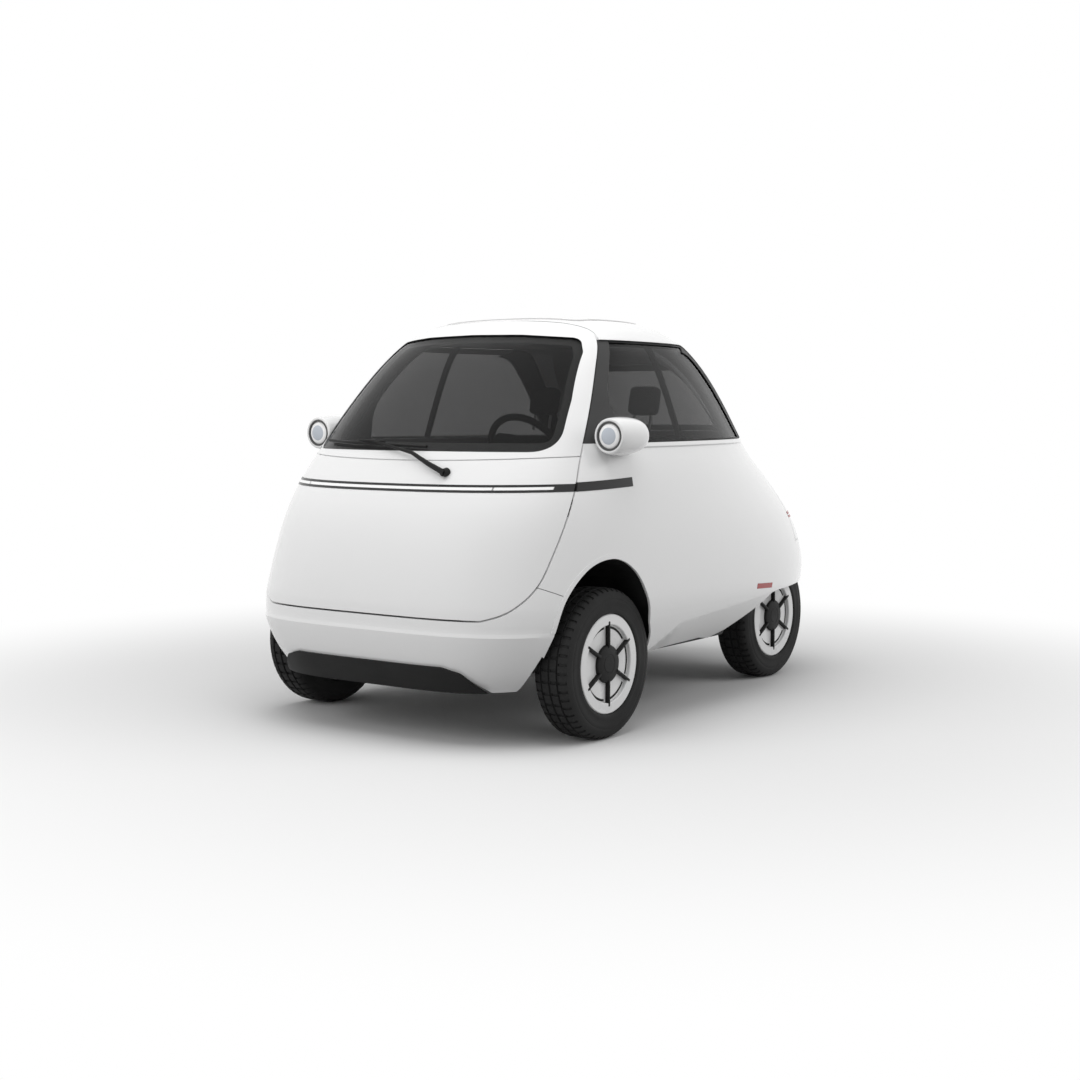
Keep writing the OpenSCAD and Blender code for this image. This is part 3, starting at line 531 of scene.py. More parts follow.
ARCH_EDGE = curve([(1, 0), (0.957, 0.186), (0.893, 0.286), (0.838, 0.362), (0.754, 0.579), (0.477, 0.859),
                   (0.071, 1), (-0.395, 0.932), (-0.79, 0.653), (-0.965, 0.286), (-1, 0)])
ARCH_ZONE = ([(FRONT_AXLE - ARCH_LEAD + ARCH_HALF * a, AXLE_Z + (ARCH_TOP - AXLE_Z) * b) for a, b in ARCH_EDGE]
             + [(FRONT_AXLE - ARCH_LEAD - ARCH_HALF, -134), (FRONT_AXLE - ARCH_LEAD + ARCH_HALF, -134)])
SIDE_OPENING = [(440, 1034), (1862, 1034), *REAR_WINDOW_EDGE[1:], (1300, 1408), (600, 1408)]
QUARTER_ZONE = [(300, 1500), (300, 1014), *curve([(735, 1014), (712, 1080), (690, 1130), (688, 1200),
                                                  (765, 1310), (860, 1428)]), (860, 1500)]
STRIP_ZONE = [(360, 871), (677, 882), (679, 914), (360, 901)]
MARKER = [(1552, 441), (1702, 432), (1706, 452), (1556, 461)]
SCREEN = rounded([(-566, 1006), (566, 1006), (522, 1186), (464, 1360), (424, 1414), (220, 1428), (0, 1432),
                  (-220, 1428), (-424, 1414), (-464, 1360), (-522, 1186)], 64)
REAR_SCREEN = rounded([(-395, 1060), (395, 1060), (300, 1345), (-300, 1345)], 55)
GRILLE = rounded([(-500, 150), (-448, 210), (-402, 262), (-336, 281), (336, 281), (402, 262), (448, 210),
                  (500, 150)], 40)
ROOF_HOLE = rounded([(-330, 850), (330, 850), (310, 1330), (-310, 1330)], 62)
WHEEL_CIRCLE = circle(FRONT_AXLE, AXLE_Z, 294.5)
REAR_CIRCLE = circle(REAR_AXLE, AXLE_Z, 282.5)
GLASS_DEPTHS, BORDER_DEPTHS, TRIM_DEPTHS = (4, 9), (9.4, 10.4), (-1, 7.7)
DOOR_HINGE_HEIGHTS = (716, 816)
LID_HINGE_X, LID_HINGE_HALF = 80, 24
SCREEN_REACH, BAR_REACH, GRILLE_REACH = (-2000, 1000), (-2000, 500), (-2000, 200)
REAR_SCREEN_REACH, REAR_BAR_REACH, ROOF_REACH = (1500, 3000), (1600, 3000), (1380, 1800)


def band(low: float, tall: float, half: float, rise: float = 5.0) -> Outline:
    """Draws a level band in the front view that rises towards the sides.

    Args:
        low: Height of its lower edge at the middle.
        tall: Its height.
        half: Its half width.
        rise: How much higher it is 600 mm from the middle.

    Returns:
        The outline.
    """
    xs = np.linspace(-half, half, 33)
    lower = [(x, low + rise * (x / 600) ** 2) for x in xs]
    return lower + [(x, z + tall) for x, z in reversed(lower)]


# ---------------------------------------------------------------- solid tools
class View(Enum):
    """The direction in which an outline is drawn and extruded."""

    SIDE = "side"
    FRONT = "front"
    TOP = "top"


def prism(outline: Outline, view: View, low: float = -2000, high: float = 2000) -> bpy.types.Object:
    """Extrudes an outline into a closed cutter.

    Args:
        outline: Drawn millimetres; (y, z) from the side, (x, z) from the front or (x, y) from the top.
        view: The direction of drawing.
        low: Where it starts along that direction; x, drawn y, or z.
        high: Where it ends.

    Returns:
        The cutter.
    """
    mesh = bmesh.new()
    shift = (high - low) * MM
    if view is View.SIDE:
        verts = [mesh.verts.new((low * MM, to_y(a), b * MM)) for a, b in outline]
        move = (shift, 0, 0)
    elif view is View.FRONT:
        verts = [mesh.verts.new((to_x(a), to_y(low), b * MM)) for a, b in outline]
        move = (0, shift, 0)
    else:
        verts = [mesh.verts.new((to_x(a), to_y(b), low * MM)) for a, b in outline]
        move = (0, 0, shift)
    face = mesh.faces.new(verts)
    new = bmesh.ops.extrude_face_region(mesh, geom=[face])["geom"]
    bmesh.ops.translate(mesh, verts=[g for g in new if isinstance(g, bmesh.types.BMVert)], vec=move)
    bmesh.ops.recalc_face_normals(mesh, faces=mesh.faces[:])
    return as_object("cutter", mesh)


def as_object(name: str, mesh: bmesh.types.BMesh) -> bpy.types.Object:
    """Turns a bmesh into a linked object and frees the bmesh.

    Args:
        name: The object's name.
        mesh: The mesh.

    Returns:
        The object.
    """
    data = bpy.data.meshes.new(name)
    mesh.to_mesh(data)
    mesh.free()
    made = bpy.data.objects.new(name, data)
    bpy.context.scene.collection.objects.link(made)
    return made


def drop(*objects: bpy.types.Object) -> None:
    """Deletes helper objects and their meshes.

    Args:
        objects: The helpers.
    """
    for item in objects:
        data = item.data
        bpy.data.objects.remove(item)
        if data.users == 0:
            bpy.data.meshes.remove(data)


def carve(name: str, base: bpy.types.Mesh, keep: Cutters, cut: Cutters) -> bpy.types.Object:
    """Cuts a piece out of a closed mesh, and deletes the cutters.

    Args:
        name: The piece's name.
        base: The mesh that it is cut from.
        keep: What it must lie inside.
        cut: What is taken away.

    Returns:
        The piece.
    """
    rough = bpy.data.objects.new(name + "_base", base)
    bpy.context.scene.collection.objects.link(rough)
    for solver in ("MANIFOLD", "EXACT"):
        rough.modifiers.clear()
        for items, kind in ((keep, "INTERSECT"), (cut, "DIFFERENCE")):
            for item in items:
                step = rough.modifiers.new("cut", "BOOLEAN")
                step.operation, step.solver, step.object = kind, solver, item
        bpy.context.view_layer.update()
        graph = bpy.context.evaluated_depsgraph_get()
        data = bpy.data.meshes.new_from_object(rough.evaluated_get(graph))
        if len(data.polygons) > 0 and (solver == "EXACT" or len(data.polygons) != len(base.polygons)):
            break
        log.warning("%s: %s left %d faces", name, solver, len(data.polygons))
    bpy.data.objects.remove(rough)
    drop(*keep, *cut)
    made = bpy.data.objects.new(name, data)
    bpy.context.scene.collection.objects.link(made)
    return made


def finish(piece: bpy.types.Object, look: Finish, body: str, *nodes: str, sharp: float = 24.0) -> bpy.types.Object:
    """Shades, colours and attaches a piece.

    Args:
        piece: The piece.
        look: Its finish.
        body: The body that it rides on.
        nodes: CAD nodes that it stands for.
        sharp: Edges steeper than this many degrees stay sharp.

    Returns:
        The piece.
    """
    piece.data.materials.clear()
    piece.data.materials.append(look.material())
    piece.data.shade_smooth()
    piece.data.set_sharp_from_angle(angle=math.radians(sharp))
    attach(piece, body)
    if nodes:
        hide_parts(*nodes)
    log.info("%s: %d faces", piece.name, len(piece.data.polygons))
    return piece


def groove(outline: Outline, view: View, depth: float, low: float = -2000, high: float = 2000) -> bpy.types.Object:
    """Makes a cutter that sinks an outline to a depth below the surface.

    Args:
        outline: The outline.
        view: The direction in which it is drawn.
        depth: Millimetres below the surface.
        low: Where it starts along that direction.
        high: Where it ends.

    Returns:
        The cutter.
    """
    return inlay("groove", outline, view, -30, depth, low, high)


def inlay(name: str, outline: Outline, view: View, outer: float, inner: float, low: float = -2000,
          high: float = 2000, keep: Cutters = (), cut: Cutters = ()) -> bpy.types.Object:
    """Cuts a piece that follows the surface.

    Args:
        name: The piece's name.
        outline: Its outline.
        view: The direction in which it is drawn.
        outer: Inset of its outside.
        inner: Inset of its inside.
        low: Where the outline's extrusion starts.
        high: Where it ends.
        keep: More solids that it must lie inside.
        cut: Solids taken away.

    Returns:
        The piece.
    """
    return carve(name, SHELL.skin(outer, inner), [prism(outline, view, low, high), *keep], cut)


def inner_cut(outline: Outline, reach: Point2) -> bpy.types.Object:
    """Returns a cutter drawn from the front that starts and ends past another of the given reach."""
    return prism(outline, View.FRONT, reach[0] - 100, reach[1] + 100)


def door_gap() -> bpy.types.Object:
    """Returns the cutter of the front door and the gap round it."""
    return prism(grow(DOOR_ZONE, GAP), View.SIDE)


def lid_gap(gap: float = GAP) -> bpy.types.Object:
    """Returns the cutter of the tailgate and the gap round it."""
    return prism(grow(TAILGATE_ZONE, gap), View.SIDE)


def lid_hinge_room(outline: Outline) -> list[bpy.types.Object]:
    """Returns the cutters, drawn from the side, that leave room for both tailgate hinges."""
    return [prism(outline, View.SIDE, LID_HINGE_X * side - LID_HINGE_HALF, LID_HINGE_X * side + LID_HINGE_HALF)
            for side in (-1, 1)]


def spoke(mesh: bmesh.types.BMesh, size: Point3, middle: Point3, taper: float, edge: float, turn: float) -> None:
    """Adds a tapered spoke with rounded edges, turned about +Z.

    Args:
        mesh: The mesh that it is added to.
        size: Its length, width and thickness in metres.
        middle: Its middle before it is turned.
        taper: Its outer end's share of its width.
        edge: How far its edges are rounded.
        turn: Degrees that it is turned by.
    """
    made = bmesh.ops.create_cube(mesh, size=1.0)["verts"]
    bmesh.ops.scale(mesh, vec=size, verts=made)
    bmesh.ops.translate(mesh, vec=middle, verts=made)
    for vert in made:
        if vert.co.x > middle[0]:
            vert.co.y *= taper
    edges = list({e for v in made for e in v.link_edges})
    bent = bmesh.ops.bevel(mesh, geom=edges, offset=edge, segments=3, profile=0.5, affect="EDGES", material=-1)
    bmesh.ops.rotate(mesh, cent=(0, 0, 0), matrix=Matrix.Rotation(math.radians(turn), 3, "Z"),
                     verts=list({v for face in bent["faces"] for v in face.verts}))


def join_into(main: bpy.types.Object, other: bpy.types.Object) -> bpy.types.Object:
    """Joins a bare mesh into another.

    Args:
        main: The piece that stays.
        other: The piece that goes.

    Returns:
        The joined piece.
    """
    mesh = bmesh.new()
    for piece in (main, other):
        mesh.from_mesh(piece.data)
    mesh.to_mesh(main.data)
    mesh.free()
    drop(other)
    return main


# ---------------------------------------------------------------- body pieces
@dataclass
class FrontDoor:
    """The front door with its windscreen, light bar and wiper."""

    body: str = Body.DOOR.value
    wall: float = 45.0
    bar_low: float = 867.0
    bar_tall: float = 26.0

    def bar(self, extra: float = 0.0) -> Outline:
        """Returns the light bar's outline, larger by extra."""
        return band(self.bar_low - extra, self.bar_tall + 2 * extra, 720)

    def build(self) -> None:
        """Builds and attaches every piece."""
        zone = prism(DOOR_ZONE, View.SIDE)
        cuts = [prism(SCREEN, View.FRONT, *SCREEN_REACH), groove(self.bar(FIT), View.FRONT, 8, *BAR_REACH),
                groove(band(972, 3.5, 660, 16), View.FRONT, 4, *BAR_REACH)]
        door = carve("door_skin", SHELL.skin(0, self.wall), [zone], cuts)
        finish(door, PAINT, self.body, "front_door")
        glass = inlay("windscreen_glass", grow(SCREEN, -FIT), View.FRONT, *GLASS_DEPTHS, *SCREEN_REACH)
        finish(glass, TINTED, self.body, "windscreen")
        frit = inlay("windscreen_border", grow(SCREEN, -0.5), View.FRONT, *BORDER_DEPTHS, *SCREEN_REACH,
                     cut=[inner_cut(grow(SCREEN, -30), SCREEN_REACH)])
        finish(frit, SCREEN_FRIT, self.body)
        rim = inlay("windscreen_seal", grow(SCREEN, -FIT), View.FRONT, 2.5, 3.8, *SCREEN_REACH,
                    cut=[inner_cut(grow(SCREEN, -3), SCREEN_REACH)])
        finish(rim, DARK_TRIM, self.body)
        self.light_bar()
        self.wiper()

    def light_bar(self) -> None:
        """Builds the dark bar and the white guide set into it."""
        ticks = [prism(rectangle(x - 3, 800, x + 3, 950), View.FRONT, *BAR_REACH) for x in (-430, 430)]
        guide_hole = prism(band(self.bar_low + 8, 10, 600), View.FRONT, *BAR_REACH)
        dark = inlay("light_bar_housing", self.bar(), View.FRONT, *TRIM_DEPTHS, *BAR_REACH,
                     keep=[prism(grow(DOOR_ZONE, -1), View.SIDE)], cut=[guide_hole])
        finish(dark, STRIP, self.body, "light_bar")
        guide = inlay("light_bar_guide", band(self.bar_low + 8.3, 9.4, 599), View.FRONT, -1.4, 6, *BAR_REACH,
                      cut=ticks)
        finish(guide, WHITE_BAR, self.body)

    def wiper(self) -> None:
        """Builds the wiper's pivot, arm and blade."""
        mesh = bmesh.new()
        foot = SHELL.nose(230, 935, 12)
        made = bmesh.ops.create_cone(mesh, cap_ends=True, segments=32, radius1=0.017, radius2=0.013, depth=0.024)
        turn = Matrix.Translation(foot) @ Matrix.Rotation(math.radians(90), 4, "X")
        bmesh.ops.transform(mesh, matrix=turn, verts=made["verts"])
        arm = [SHELL.nose(236, 933, 18), SHELL.nose(150, 965, 24), SHELL.nose(60, 1000, 25),
               SHELL.nose(-80, 1026, 23), SHELL.nose(-172, 1040, 20)]
        tube(mesh, arm, [0.011, 0.009, 0.007, 0.005, 0.004], 10)
        carrier = [SHELL.nose(-100, 1037, 17), SHELL.nose(-172, 1039, 21), SHELL.nose(-244, 1043, 17)]
        tube(mesh, carrier, [0.003, 0.006, 0.003], 8)
        blade = [SHELL.nose(102 - 78 * k, 1022 + 2.3 * k, 13) for k in range(8)]
        tube(mesh, blade, [0.005] * 8, 8)
        lip = [SHELL.nose(102 - 78 * k, 1022 + 2.3 * k, 8) for k in range(8)]
        tube(mesh, lip, [0.0024] * 8, 6)
        finish(as_object("wiper_arm_and_blade", mesh), BLACK_TRIM, self.body, "wiper", sharp=40)


def tube(mesh: bmesh.types.BMesh, path: list[Vector], radii: list[float], sides: int) -> None:
    """Extrudes a round section along a path.

    Args:
        mesh: The mesh that it is added to.
        path: The path's points.
        radii: The section's radius at each point.
        sides: Sides of the section.
    """
    ring = bmesh.ops.create_circle(mesh, cap_ends=True, segments=sides, radius=1.0)["verts"]
    flat = [v.co.copy() for v in ring]
    for i, here in enumerate(path):
        ahead = (path[min(i + 1, len(path) - 1)] - path[max(i - 1, 0)]).normalized()
        turn = ahead.to_track_quat("Z", "Y").to_matrix().to_4x4()
        if i > 0:
            cap = [f for f in mesh.faces if set(f.verts) == set(ring)]
            made = bmesh.ops.extrude_face_region(mesh, geom=cap)["geom"]
            new = [g for g in made if isinstance(g, bmesh.types.BMVert)]
            pairs = {v: next(w for w in new if (w.co - v.co).length < 1e-7) for v in ring}
            if i > 1:
                bmesh.ops.delete(mesh, geom=cap, context="FACES_ONLY")
            ring = [pairs[v] for v in ring]
        for vert, place in zip(ring, flat):
            vert.co = here + turn @ (place * radii[i])


@dataclass
class FixedPanels:
    """The chassis' painted panels, their glass, trim and lamps."""

    body: str = Body.CHASSIS.value
    wall: float = 45.0
    pod_x: float = 692.0
    pod_y: float = 526.0
    pod_z: float = 1061.0
    pod_r: float = 67.0
    pod_l: float = 182.0

    def build(self) -> None:
        """Builds and attaches every piece."""
        for side in (1, -1):
            self.side_panel(side)
        self.roof()
        self.bumpers()
        self.side_glass()
        self.trim()
        self.pods()

    def pod_seats(self, *sides: int) -> list[bpy.types.Object]:
        """Makes the cutters of the pods' seats in the panels.

        Args:
            sides: +1 for the left pod, -1 for the right one.

        Returns:
            One cutter for each side.
        """
        radius = (self.pod_r + FIT) * MM
        out = []
        for side in sides:
            mesh = bmesh.new()
            bmesh.ops.create_cone(mesh, cap_ends=True, segments=48, radius1=radius, radius2=radius, depth=0.203)
            place = Matrix.Translation((side * self.pod_x * MM, to_y(self.pod_y) + 0.0815, self.pod_z * MM))
            bmesh.ops.transform(mesh, matrix=place @ Matrix.Rotation(math.pi / 2, 4, "X"), verts=mesh.verts[:])
            out.append(as_object("pod_seat", mesh))
        return out

    @staticmethod
    def door_hinge_room() -> list[bpy.types.Object]:
        """Returns the cutters that leave room for the front door's hinges inside the skin."""
        return [inlay("hinge_room", rectangle(front, z - half, back, z + half), View.SIDE, 3, 60, 500, 672)
                for z in DOOR_HINGE_HEIGHTS for front, back, half in ((344, 424, 32), (424, 465, 26))]

    @staticmethod
    def wheel_wells() -> list[bpy.types.Object]:
        """Returns the cutters that thin the panels to a skin over and behind the front wheels."""
        return [inlay("well", grow(zone, 4.3), View.SIDE, 7, 60) for zone in (ARCH_ZONE, WHEEL_CIRCLE)]

    def side_panel(self, side: int) -> None:
        """Builds the panel of one side.

        Args:
            side: +1 for the left, -1 for the right.
        """
        half = prism(rectangle(-300, -100, 2900, 1408), View.SIDE, min(2000 * side, 0), max(2000 * side, 0))
        cuts = [door_gap(), lid_gap(), prism(grow(REAR_BUMPER_ZONE, FIT), View.SIDE),
                prism(grow(FRONT_BUMPER_ZONE, 2.5), View.SIDE), prism(SIDE_OPENING, View.SIDE),
                prism(SILL_ZONE, View.SIDE), prism(ARCH_ZONE, View.SIDE), *self.wheel_wells(),
                groove(grow(STRIP_ZONE, FIT), View.SIDE, 8), groove(grow(MARKER, FIT), View.SIDE, 8),
                groove(rectangle(700, 1014, 2000, 1017), View.SIDE, 3), *self.pod_seats(side)]
        if side > 0:
            cuts += self.door_hinge_room()
        name = "left" if side > 0 else "right"
        panel = carve(f"side_{name}_skin", SHELL.skin(0, self.wall), [half], cuts)
        finish(panel, PAINT, self.body, f"side_panel_{name}", sharp=20)

    def roof(self) -> None:
        """Builds the roof and its folding cloth."""
        panel = carve("roof_skin", SHELL.skin(0, self.wall), [], [
            prism(rectangle(-300, 100, 2900, 1408.3), View.SIDE), door_gap(), lid_gap(LID_GAP),
            prism(ROOF_HOLE, View.TOP, *ROOF_REACH), *lid_hinge_room(rectangle(1395, 1450, 1500, 1520))])
        finish(panel, PAINT, self.body, "roof_panel", sharp=20)
        folds = [groove(rectangle(y - 2, 0, y + 2, 1700), View.SIDE, -1.2) for y in (960, 1080, 1200)]
        cloth = inlay("sunroof_cloth", grow(ROOF_HOLE, -4), View.TOP, -3, 12, *ROOF_REACH, cut=folds)
        finish(cloth, ROOF_CLOTH, self.body, "sunroof")
        seal = inlay("sunroof_seal", grow(ROOF_HOLE, -FIT), View.TOP, 2, 10, *ROOF_REACH,
                     cut=[prism(grow(ROOF_HOLE, -3.8), View.TOP, 1380, 1801)])
        finish(seal, BLACK_TRIM, self.body)

    def bumpers(self) -> None:
        """Builds the bumpers and the grille."""
        front = carve("front_bumper_skin", SHELL.skin(0, 30), [prism(FRONT_BUMPER_ZONE, View.SIDE)], [
            door_gap(), prism(ARCH_ZONE, View.SIDE), *self.wheel_wells(),
            prism(GRILLE, View.FRONT, *GRILLE_REACH), self.cover_ring(-387, 346)])
        finish(front, PAINT, self.body, "front_bumper", sharp=20)
        ribs = [inlay("rib_groove", rectangle(x - 4, 200, x + 4, 268), View.FRONT, 0, 15, *GRILLE_REACH)
                for x in range(-384, 385, 16)]
        main = inlay("lower_grille", grow(GRILLE, -FIT), View.FRONT, 8, 22, *GRILLE_REACH, cut=ribs)
        finish(main, BLACK_TRIM, self.body, "grille")
        plate = prism(rectangle(-150.3, 449.7, 150.3, 560.3), View.FRONT, 2491.7, 2700)
        wheels = [inlay("rear_pocket", REAR_CIRCLE, View.SIDE, 7, 60, *sorted((348 * side, 2000 * side)))
                  for side in (-1, 1)]
        rear = carve("rear_bumper_skin", SHELL.skin(0, 30), [prism(REAR_BUMPER_ZONE, View.SIDE)], [plate, *wheels])
        finish(rear, PAINT, self.body, "rear_bumper", sharp=20)

    @staticmethod
    def cover_ring(x: float, z: float) -> bpy.types.Object:
        """Returns the fine round groove of the towing-eye cover."""
        return inlay("cover_groove", circle(x, z, 24, 48), View.FRONT, -30, 2, *GRILLE_REACH,
                     cut=[inner_cut(circle(x, z, 22.6, 48), GRILLE_REACH)])

    def side_glass(self) -> None:
        """Builds the side windows, their bars and seals, and the dark panels ahead of them."""
        opening = grow(SIDE_OPENING, -FIT)
        corner_zone = grow(QUARTER_ZONE, FIT)
        glass = inlay("side_window_glass", opening, View.SIDE, *GLASS_DEPTHS,
                      cut=[door_gap(), prism(corner_zone, View.SIDE)])
        finish(glass, TINTED, self.body, "side_windows")
        bar = inlay("side_window_divider", rectangle(1104, 1034.5, 1120, 1407.5), View.SIDE, 9.4, 24)
        finish(bar, BLACK_TRIM, self.body)
        top = inlay("side_window_band", rectangle(600, 1385, 1545, 1407), View.SIDE, 9.4, 11,
                    keep=[prism(opening, View.SIDE)], cut=[door_gap(), prism(corner_zone, View.SIDE)])
        finish(top, FRIT, self.body)
        seal = inlay("side_window_seal", opening, View.SIDE, 1.0, 3.8,
                     cut=[prism(grow(SIDE_OPENING, -9), View.SIDE), door_gap(), prism(corner_zone, View.SIDE)])
        finish(seal, BLACK_TRIM, self.body)
        rear_edge = [*REAR_WINDOW_EDGE, *reversed([(y - 50, z - 30) for y, z in REAR_WINDOW_EDGE])]
        thick = inlay("side_window_rear_seal", rear_edge, View.SIDE, 0.6, 12,
                      keep=[prism(grow(SIDE_OPENING, -FIT), View.SIDE)])
        finish(thick, BLACK_TRIM, self.body)
        corner = inlay("front_quarter_panels", opening, View.SIDE, 2, self.wall,
                       keep=[prism(QUARTER_ZONE, View.SIDE)], cut=[door_gap(), *self.pod_seats(1, -1)])
        finish(corner, DARK_TRIM, self.body, "quarter_panels")

    def trim(self) -> None:
        """Builds the strips, side markers, belt mouldings, drip rails and arch lips."""
        strip = inlay("side_strip_bars", STRIP_ZONE, View.SIDE, *TRIM_DEPTHS,
                      cut=[prism(grow(DOOR_ZONE, GAP + 1), View.SIDE)])
        finish(strip, STRIP, self.body, "side_strips")
        marker = inlay("side_marker_lenses", MARKER, View.SIDE, *TRIM_DEPTHS)
        finish(marker, RED_LENS, self.body, "side_markers")
        belt = inlay("belt_mouldings", [(760, 1020), (1925, 1020), (1912, 1034), (760, 1034)], View.SIDE, -3, 1,
                     cut=[lid_gap(), *self.pod_seats(1, -1)])
        finish(belt, PAINT, self.body)
        rail = inlay("drip_rails", grow(SIDE_OPENING, 11), View.SIDE, -2.5, 1,
                     cut=[prism(grow(SIDE_OPENING, 1), View.SIDE), door_gap(),
                          prism(rectangle(-300, 0, 2900, 1036), View.SIDE), lid_gap()])
        finish(rail, PAINT, self.body)
        lip = inlay("arch_lips", grow(ARCH_ZONE, 15), View.SIDE, -1.5, 2,
                    cut=[prism(grow(ARCH_ZONE, 1), View.SIDE), prism(rectangle(-300, -200, 2900, 400), View.SIDE)])
        finish(lip, PAINT, self.body)

    def pods(self) -> None:
        """Builds the lamp and mirror pods."""
        r, l = self.pod_r, self.pod_l
        shell = [(0, 6), (50, 6), (52, 4), (52, 1.5), (54, 0), (r - 8, 0)]
        shell += [(r - 8 + 8 * math.sin(a), 60 - 60 * math.cos(a)) for a in np.radians(range(8, 96, 6))]
        shell += [(r - 20 + 20 * math.cos(a), 70 + (l - 70) * math.sin(a)) for a in np.radians(range(10, 86, 5))]
        shell += [(r - 20, l), (r - 24, l), (r - 24, l - 6), (0, l - 6)]
        ring = [(44.5, 6), (44.5, 0), (45.5, -1.4), (50, -1.4), (51.6, 0.4), (51.6, 6)]
        centre = [(0, -7.2)] + [(33 * math.sin(a), 0.5 - 7.7 * math.cos(a)) for a in np.radians(range(10, 91, 10))]
        bezel = [(51.6, 5.5), (51.6, 0.5), (53, -0.8), (57.5, -0.8), (58.8, 0.3), (59.5, 2.2)]
        lens = [(0, -5.8)] + [(44 * math.sin(a), 5.6 - 11.4 * math.cos(a)) for a in np.radians(range(8, 89, 8))]
        lens += [(44, 5.7)]
        glass = [(0, l - 5.7), (r - 24.5, l - 5.7), (r - 24.5, l - 1.5), (r - 26, l - 0.6), (0, l - 0.2)]
        foot = [(0.001, 69.4), (30.001, 69.4), (34.001, 77), (34.001, 115), (30.001, 122.6), (0.001, 122.6)]
        self.turned("pod_shells", shell, PAINT, "lamp_pods")
        self.turned("pod_rings", ring, GREY_RING)
        self.turned("pod_bezels", bezel, PAINT)
        self.turned("headlight_centres", centre, LENS_CENTRE)
        self.turned("headlight_glass", lens, LENS, "headlight_lenses")
        self.turned("mirror_glass", glass, CHROME, "mirror_glasses")
        self.turned("pod_feet", foot, CHROME, shift=(-9.0, -37.0))

    def turned(self, name: str, profile: list[Point2], look: Finish, node: str | None = None,
               shift: Point2 = (0.0, 0.0)) -> None:
        """Spins one profile about both pods' axes.

        Args:
            name: The piece's name.
            profile: Radius, and distance behind the pod's front.
            look: Its finish.
            node: The CAD node that it stands for, if any.
            shift: Its axis' distance outwards and upwards from the pod's.
        """
        mesh = bmesh.new()
        for side in (1, -1):
            axis = Vector(((self.pod_x + shift[0]) * side * MM, 0, (self.pod_z + shift[1]) * MM))
            verts = [mesh.verts.new(axis + Vector((a * MM, to_y(self.pod_y + b), 0))) for a, b in profile]
            edges = [mesh.edges.new(pair) for pair in zip(verts, verts[1:])]
            bmesh.ops.spin(mesh, geom=verts + edges, cent=axis, axis=(0, 1, 0), dvec=(0, 0, 0),
                           angle=2 * math.pi, steps=72, use_merge=True)
        bmesh.ops.remove_doubles(mesh, verts=mesh.verts[:], dist=1e-6)
        bmesh.ops.recalc_face_normals(mesh, faces=mesh.faces[:])
        made = as_object(name, mesh)
        finish(made, look, self.body, *([node] if node else []), sharp=32)


@dataclass
class Tailgate:
    """The tailgate with its window and light bar."""

    body: str = Body.LID.value
    wall: float = 45.0

    def build(self) -> None:
        """Builds and attaches every piece."""
        bar = band(688, 24, 700)
        lid = carve("tailgate_skin", SHELL.skin(0, self.wall), [prism(TAILGATE_ZONE, View.SIDE)], [
            prism(REAR_SCREEN, View.FRONT, *REAR_SCREEN_REACH), groove(grow(bar, FIT), View.FRONT, 8, *REAR_BAR_REACH),
            *lid_hinge_room(rectangle(1440, 1430, 1582, 1520))])
        finish(lid, PAINT, self.body, "tailgate", sharp=20)
        covers = inlay("tailgate_hinge_covers", rectangle(1482, 1430, 1575, 1520), View.SIDE,
                       1, 8, keep=[prism(rectangle(-103, 0, 103, 1700), View.FRONT, 1000, 2000)],
                       cut=[prism(rectangle(-57, 0, 57, 1700), View.FRONT, 1000, 2001)])
        finish(covers, PAINT, self.body)
        glass = inlay("rear_window_glass", grow(REAR_SCREEN, -FIT), View.FRONT, *GLASS_DEPTHS, *REAR_SCREEN_REACH)
        finish(glass, TINTED, self.body, "rear_window")
        frit = inlay("rear_window_border", grow(REAR_SCREEN, -0.5), View.FRONT, *BORDER_DEPTHS,
                     *REAR_SCREEN_REACH, cut=[inner_cut(grow(REAR_SCREEN, -26), REAR_SCREEN_REACH)])
        finish(frit, FRIT, self.body)
        seal = inlay("rear_window_seal", grow(REAR_SCREEN, -FIT), View.FRONT, 1.5, 3.8,
                     *REAR_SCREEN_REACH, cut=[inner_cut(grow(REAR_SCREEN, -6), REAR_SCREEN_REACH)])
        finish(seal, BLACK_TRIM, self.body)
        red = inlay("rear_light_lens", bar, View.FRONT, -1.5, 7.7, *REAR_BAR_REACH, keep=[lid_gap(-1)],
                    cut=[inner_cut(band(697, 5, 600), REAR_BAR_REACH)])
        finish(red, RED_LENS, self.body, "rear_light_bar")
        line = inlay("rear_light_guide", band(697.3, 4.4, 599), View.FRONT, -1.8, 7, *REAR_BAR_REACH,
                     keep=[lid_gap(-1)])
        finish(line, WHITE_BAR, self.body)


